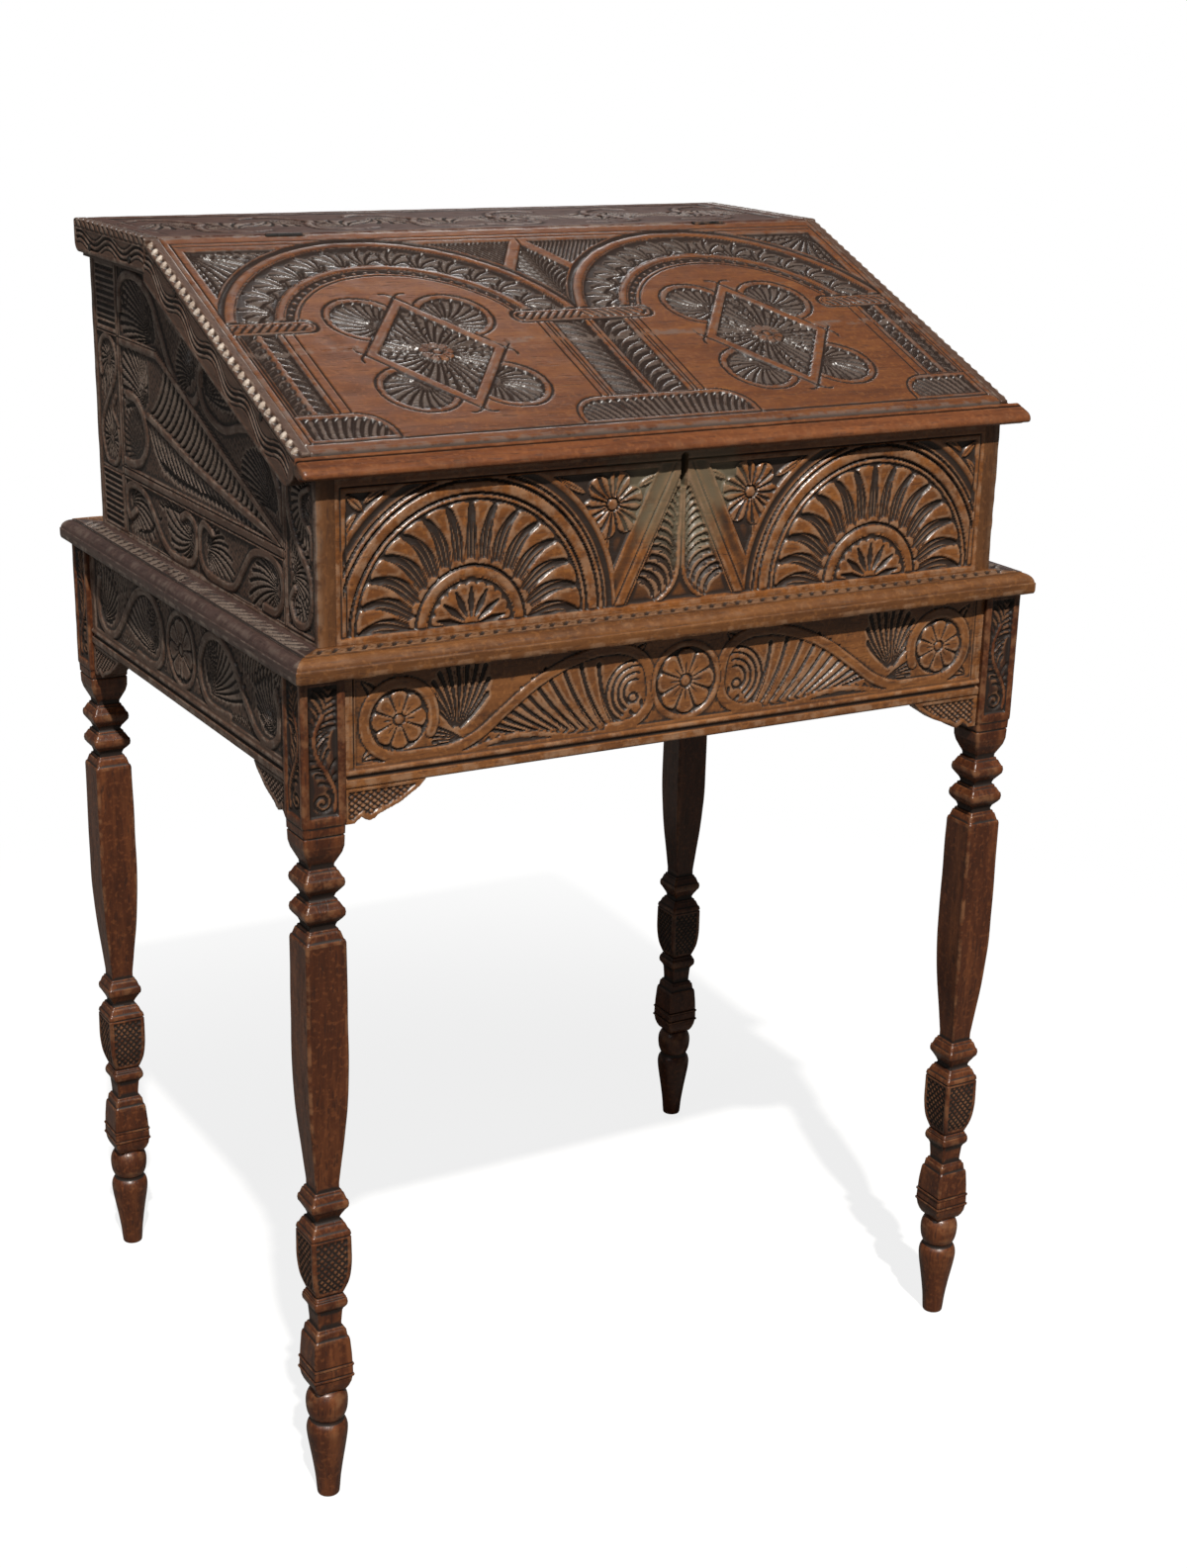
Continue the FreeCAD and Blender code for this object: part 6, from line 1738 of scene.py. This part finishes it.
def dress_beads(piece, origin, side):
    """Gives the beads along a cleat their own pale finish, a painted highlight."""
    local = triples(piece.data.polygons, "center") / MM - np.array(origin)
    seat = BEAD_RADIUS + BEAD_INSET
    span = (SLOPE_LENGTH - NOSING_BACK - 2 * BEAD_MARGIN) / (BEAD_COUNT - 1)
    down = local @ DOWN_SLOPE - BEAD_MARGIN
    down -= span * np.clip(np.round(down / span), 0, BEAD_COUNT - 1)
    away = np.sqrt(down ** 2 + (local @ OFF_SLOPE + seat) ** 2 + (side * local[:, 0] + seat) ** 2)
    finish_some(piece, "bead_oak", away < BEAD_RADIUS * 1.08)


# Caps and cleats take the side's darker finish, painted shade.
for name, side in (("left", -1), ("right", 1)):
    origin = (side * CAP_HALF, BREAK_Y, TOP_Z)
    dress(worked("ledge_cap_" + name,
                 [((side, 0, 0), (0, 1, 0), (0, 0, 1), origin, carve_cap),
                  ((0, 0, 1), (0, 1, 0), (-side, 0, 0), origin, carve_cap_top)], 0.9, 0.05, 7),
          "side_oak", "box", "side_oak", "ledge_cap_" + name)
    cleat = dress(worked("lid_cleat_" + name,
                         [((side, 0, 0), DOWN_SLOPE, OFF_SLOPE, origin, carve_cleat)], 0.9, 0.05, 9),
                  "side_oak", "lid", "side_oak", "lid_cleat_" + name)
    dress_beads(cleat, origin, side)


NOSE_MIDDLE = (9.6, 7.6)
NOSE_REACH = 7.2
NOSING_END = 3.0
NOSING_CENTRE = np.array((4.0, 8.8))


def nosing_section():
    """Distances ahead of the slope's end and below the lid's face, from the back round the nose."""
    groove = [(-5.4, 2.75), (-2.2, 2.75), (-1.8, 4.6), (0.2, 4.6), (0.6, 2.75), (1.4, 2.65)]
    flat = [(ahead, 2.65) for ahead in np.linspace(2.6, 9, 5)]
    ahead, below = NOSE_MIDDLE
    nose = [(ahead + NOSE_REACH * math.sin(angle), below - 4.95 * math.cos(angle))
            for angle in np.linspace(0.1, math.pi / 2, 10)]
    lip = [(ahead + NOSE_REACH * math.cos(angle), below + 3.4 * math.sin(angle))
           for angle in np.linspace(0.2, 1.25, 6)]
    cove = [(10.8, 11.3), (9.6, 12.0), (8.8, 13.2), (8.4, 14.9)]
    back = [(3.0, 14.9), (-5.4, 14.9), (-5.4, 9.0)]
    return np.array(groove + flat + nose + lip + cove + back)


def nosing_piece():
    """Moulded strip along the front of the lid, with a groove behind its nose and worn round ends."""
    low, high = (corner[0] for corner in corner_mm("lid_nosing"))
    section = nosing_section()
    ends = np.linspace(0, NOSING_END, 7)[:-1]
    x = np.concatenate([low + ends, np.arange(low + NOSING_END, high - NOSING_END, 1.4), high - ends[::-1]])
    near = held(np.minimum(x - low, high - x) / NOSING_END)
    scale = 1 - 0.2 * (1 - np.sqrt(1 - (1 - near) ** 2))
    run = np.arange(len(section)) * 1.6
    along, round_it = np.meshgrid(x, run, indexing="ij")
    wear = 0.010 * np.maximum(unevenness(along, round_it, 34, 12) + 1, 0)
    wear += 0.008 * np.maximum(unevenness(along, round_it, 7, 13) + 0.4, 0)
    form = NOSING_CENTRE + (section[None] - NOSING_CENTRE) * (scale[:, None] - wear)[..., None]
    points = (np.array((0, BREAK_Y, TOP_Z)) + DOWN_SLOPE * (SLOPE_LENGTH + form[..., :1])
              - OFF_SLOPE * form[..., 1:])
    points[..., 0] = along
    rows, columns = along.shape
    index = np.arange(rows * columns).reshape(rows, columns)
    piece = closed_piece("lid_nosing_moulded", (points * MM).reshape(-1, 3).tolist(), tube_faces(index))
    finish_mesh(piece)
    # The groove behind the nose is darkened outright: grime and painted shade.
    store(piece.data, "cut", np.tile((section[:, 1] > 4.0) * (section[:, 0] < 1) * 0.9, rows))
    return piece


dress(nosing_piece(), "nosing_oak", "lid", "lid_oak", "lid_nosing")


# The stand top, swept round its edge

TOP_UNDER = top_low[2]
TOP_FACE = top_high[2]
TOP_EDGE = 10.1
TOP_MOULDING = 9.4
TOP_GROOVE_IN, TOP_GROOVE_WIDTH, TOP_GROOVE_DEPTH = 10.6, 1.5, 1.2
TOP_STEP, TOP_FLATNESS = 0.9, 1.15
TOP_BORDER = 44.0
CHIP_IN, CHIP_PITCH, CHIP_BAND = 18.6, 12.4, 6.5


def top_profile():
    """Distance in from the edge and height of the stand top's section, from inside to under it."""
    flat = [(inset, TOP_FACE) for inset in np.linspace(TOP_BORDER, TOP_MOULDING, 42)]
    rise = TOP_FACE - TOP_UNDER - TOP_EDGE
    reach = TOP_MOULDING - TOP_STEP
    curve = [(TOP_STEP + reach * (1 - math.sin(angle) ** TOP_FLATNESS),
              TOP_UNDER + TOP_EDGE + (rise - TOP_STEP) * math.cos(angle) ** TOP_FLATNESS)
             for angle in np.linspace(0.02, math.pi / 2, 14)]
    edge = [(TOP_STEP * 0.5, TOP_UNDER + TOP_EDGE - 0.2), (0.1, TOP_UNDER + TOP_EDGE - 0.7)]
    edge += [(0.9 * max(0.0, (3 - n) / 3) ** 2, TOP_UNDER + TOP_EDGE * n / 9) for n in range(8, -1, -1)]
    return np.array(flat + curve + edge + [(6.0, TOP_UNDER), (TOP_BORDER, TOP_UNDER)])


def top_piece(name, side, seed):
    """Half of the moulded stand top, with its groove and the row of chips beside the box."""
    half_x, half_y = TOP_HALF
    profile = top_profile()
    inset, height = profile[:, :1], profile[:, 1:]
    strips = []
    for strip, length in enumerate((half_y, 2 * half_x, half_y)):
        share = np.linspace(0, 1, int(length / 1.25))[None, min(strip, 1):]
        still = 0 * share
        if strip == 1:
            x, y = (2 * share - 1) * (half_x - inset), half_y - inset + still
            strips.append((x, y, 1000 + x))
        else:
            along = share if strip == 0 else 1 - share
            x, y = (inset - half_x) * (1 - strip) + still, along * (half_y - inset)
            strips.append((x, y, 2000 * strip + y))
    x, y, u = (np.concatenate(part, axis=1) for part in zip(*strips))
    inward = np.broadcast_to(inset, x.shape)
    wood = Carving(u, inward)
    chance = np.random.default_rng(seed)
    for start, low, high in ((0, 4, half_y - CHIP_IN - 6), (1000, CHIP_IN + 8 - half_x, half_x - CHIP_IN - 8),
                             (4000, 4, half_y - CHIP_IN - 6)):
        for place in np.arange(low, high, CHIP_PITCH) + chance.uniform(-0.4, 0.4):
            middle = np.array((start + place, CHIP_IN))
            chip = smooth_path(middle + (-4.4, -4.6), middle + (-1.8, -3.2), middle + (1.2, 2.4),
                               middle + (4.2, 4.4), count=4)
            wood.groove(chip, 4.6, 2.0, 0.5, 1.15)
    from_groove = np.abs(wood.v - TOP_GROOVE_IN - TOP_GROOVE_WIDTH / 2)
    wood.deepen(EVERYWHERE, TOP_GROOVE_DEPTH * held(1.6 - from_groove))
    depth = wood.depth.reshape(x.shape)
    waves = 0.12 * np.maximum(unevenness(x + 0.3 * height, y, 40, seed) + 1, 0)
    z = height - waves * (height > TOP_UNDER + 2)
    z = np.where(inward > TOP_MOULDING - 0.5, height - depth - waves, z)
    push = waves * (inward < 8)
    x = x - push * np.sign(x) * (np.abs(x) > half_x - inward - 1)
    y = y - push * (y > half_y - inward - 1)
    points = np.stack([x, side * y, z], -1) * MM
    rows, columns = x.shape
    index = np.arange(rows * columns).reshape(rows, columns)
    wall = np.stack([index[0, :-1], index[0, 1:], index[-1, 1:], index[-1, :-1]], -1)
    ends = [index[:, 0].tolist(), index[::-1, -1].tolist()]
    core = [(way * (half_x - TOP_BORDER), side * place, TOP_UNDER)
            for way, place in ((-1, 0), (1, 0), (1, half_y - TOP_BORDER), (-1, half_y - TOP_BORDER))]
    solid, faces = prism_faces(*prism(core, (0, 0, TOP_FACE - TOP_UNDER)), rows * columns)
    faces = grid_faces(index).tolist() + wall[:, ::-1].tolist() + ends + faces
    piece = closed_piece(name, points.reshape(-1, 3).tolist() + solid, faces)
    finish_mesh(piece, rows * columns)
    ground = 0.5 * held(1.3 - np.abs(inward - CHIP_IN) / CHIP_BAND)
    in_chip = (depth > 0.7) & (inward > CHIP_IN - CHIP_BAND + 2)
    dark = np.where(in_chip, 0.1, np.maximum(depth / FULL_CUT, ground))
    store(piece.data, "cut", np.concatenate([held(dark).ravel(), np.zeros(len(solid))]))
    return piece


def dress_top(piece, node):
    """Gives a half of the stand top its finish, and a darker copy, painted shade, to its arms past the
    mitres.
    """
    dress(piece, "top_oak", "stand", "top_oak", node)
    place = np.abs(triples(piece.data.polygons, "center")) / MM
    arm = TOP_HALF[0] - place[:, 0] < TOP_HALF[1] - place[:, 1]
    finish_some(piece, "top_side_oak", arm & (place[:, 0] > TOP_HALF[0] - TOP_BORDER))


dress_top(top_piece("top_front_board", -1, 61), "stand_top_front")
dress_top(top_piece("top_back_board", 1, 62), "stand_top_back")


# The ledge. Its carving is laid out from the middle of its width, and back from the break.

def carve_ledge(wood):
    """Shallow scrolls of leaf inside a plain border."""
    mirrored = Carving(np.abs(wood.u), wood.v)
    field = mirrored.in_box((-5, 18), (LID_HALF - 14, ledge_high[1] - BREAK_Y - 12))
    mirrored.sink_field(field, 0.9, 1.6)
    for centre in (48.0, 150.0, 252.0):
        mirrored.even_fan((centre - 24, 52), 10, 120, [52] * 9, 34, 4.4, 1.2, 6)
        mirrored.even_fan((centre + 26, 124), 190, 300, [52] * 9, 34, 4.4, 1.2, 6)
        mirrored.ribbon(smooth_path((centre - 44, 38), (centre - 20, 30), (centre + 8, 42),
                                    (centre + 4, 78), (centre - 8, 106), (centre + 6, 134),
                                    (centre + 30, 146), (centre + 48, 134)), 7.0, 0.1, 1.8, 1.2)
    wood.depth = np.maximum(wood.depth, mirrored.depth)
    wood.free()


dress(worked("ledge_board", [((0, 0, 1), (1, 0, 0), (0, 1, 0), (0, BREAK_Y, TOP_Z), carve_ledge)],
             1.6, 0.12, 5),
      "ledge_oak", "box", "lid_oak", "ledge_board")


# Nodes that keep the model's own shape

for name, node in nodes.items():
    if node.hide_render:
        continue
    slot = next(part["material_slot"] for part in frame["record"]["subparts"] if part["node"] == name)
    node.data.materials.clear()
    node.data.materials.append(finishes[slot])


# Floor, lights and camera

FLOOR_HALF = 12.0
ROOM_STRENGTH = 0.09
SUN_WAY, SUN_STRENGTH, SUN_WIDTH = (0.24, 0.72, -0.95), 5.2, 1.6
SUN_COLOUR, WHITE, SKY = (1.0, 0.96, 0.90), (1.0, 1.0, 1.0), (0.90, 0.95, 1.0)


def floor_finish():
    """Pale floor that the camera sees as nearly white, and that reflects little onto the object."""
    shader = Shader(bpy.data.materials.new("floor_finish"))
    place = shader.add("TexCoord", {}, {}, "Object")
    away = shader.add("VectorMath", {"operation": "LENGTH"}, {0: place}, "Value")
    ray = shader.add("LightPath", {}, {}, "Is Camera Ray")
    shaded = shader.add("BsdfDiffuse", {}, {"Color": (0.92, 0.92, 0.92, 1)})
    white = shader.add("Emission", {}, {"Strength": 1.0})
    dim = shader.add("BsdfDiffuse", {}, {"Color": (0.14, 0.13, 0.12, 1)})
    seen = shader.add("MixShader", {}, {0: 0.82 + 0.18 * shader.within(away, 0.5, 1.5), 1: shaded, 2: white})
    shader.add("OutputMaterial", {}, {"Surface": shader.add("MixShader", {}, {0: ray, 1: dim, 2: seen})})
    return shader.material


def floor():
    """Wide pale floor that keeps the object's shadow and fades to white further away."""
    reach = FLOOR_HALF
    mesh = bpy.data.meshes.new("floor")
    mesh.from_pydata([(-reach, -reach, 0), (reach, -reach, 0), (reach, reach, 0), (-reach, reach, 0)],
                     [], [(0, 1, 2, 3)])
    mesh.materials.append(floor_finish())
    link("floor", mesh)


def lamp(name, kind, power, colour, way):
    """Lamp that shines along a direction."""
    light = bpy.data.lights.new(name, kind)
    light.energy = power
    light.color = colour
    piece = link(name, light)
    piece.rotation_euler = Vector(way).to_track_quat("-Z", "Y").to_euler()
    return piece


def area_light(name, place, target, size, power, colour):
    """Round lamp at a place, turned to a target."""
    piece = lamp(name, "AREA", power, colour, Vector(target) - Vector(place))
    piece.data.shape = "DISK"
    piece.data.size = size
    piece.location = place


def sun_light(way, strength, width):
    """Sunlight that travels along a direction, with the width of its disc in degrees."""
    lamp("sun", "SUN", strength, SUN_COLOUR, way).data.angle = math.radians(width)


def world_light(strength):
    """Even light from all round, which the camera sees as white."""
    world = bpy.data.worlds.new("room")
    bpy.context.scene.world = world
    shader = Shader(world)
    seen, through = (shader.add("LightPath", {}, {}, f"Is {kind} Ray") for kind in ("Camera", "Transmission"))
    seen = shader.add("Math", {"operation": "MAXIMUM"}, {0: seen, 1: through})
    level = shader.add("MapRange", {}, {"Value": seen, "To Min": strength, "To Max": 1.0})
    background = shader.add("Background", {}, {"Color": (1, 1, 1, 1), "Strength": level})
    shader.add("OutputWorld", {}, {"Surface": background})


# The camera that the photograph was taken with, in its 1200 by 1585 pixels
PHOTO_WIDTH, PHOTO_HEIGHT = 1200, 1585
CAMERA_PLACE = (-1.01045, -1.85150, 1.21717)
CAMERA_YAW, CAMERA_PITCH, CAMERA_ROLL = -30.73, -20.61, 1.56
FOCAL_PIXELS = 2405.19
CENTRE_PIXEL = (619.33, 890.76)
SENSOR = 36.0


def photo_camera():
    """Camera with the place, the turn and the frame of the photograph's."""
    yaw, pitch, roll = (math.radians(angle) for angle in (CAMERA_YAW, CAMERA_PITCH, CAMERA_ROLL))
    forward = Vector((-math.sin(yaw) * math.cos(pitch), math.cos(yaw) * math.cos(pitch), math.sin(pitch)))
    level = forward.cross(Vector((0, 0, 1))).normalized()
    above = level.cross(forward)
    right = level * math.cos(roll) + above * math.sin(roll)
    up = above * math.cos(roll) - level * math.sin(roll)
    lens = bpy.data.cameras.new("photo_camera")
    lens.sensor_width = SENSOR
    lens.lens = FOCAL_PIXELS * SENSOR / PHOTO_HEIGHT
    lens.shift_x = (PHOTO_WIDTH / 2 - CENTRE_PIXEL[0]) / PHOTO_HEIGHT
    lens.shift_y = (CENTRE_PIXEL[1] - PHOTO_HEIGHT / 2) / PHOTO_HEIGHT
    camera = link("photo_camera", lens)
    turn = Matrix((right, up, -forward)).transposed().to_4x4()
    camera.matrix_world = Matrix.Translation(CAMERA_PLACE) @ turn
    bpy.context.scene.camera = camera


floor()
world_light(ROOM_STRENGTH)
sun_light(SUN_WAY, SUN_STRENGTH, SUN_WIDTH)
area_light("lid_shine", (1.3, 2.5, 2.3), (0, 0, 0.95), 0.8, 14, WHITE)
area_light("sky", (-2.6, -1.0, 2.6), (0, 0, 0.7), 1.6, 18, SKY)
photo_camera()
bpy.context.scene.view_settings.view_transform = "Standard"
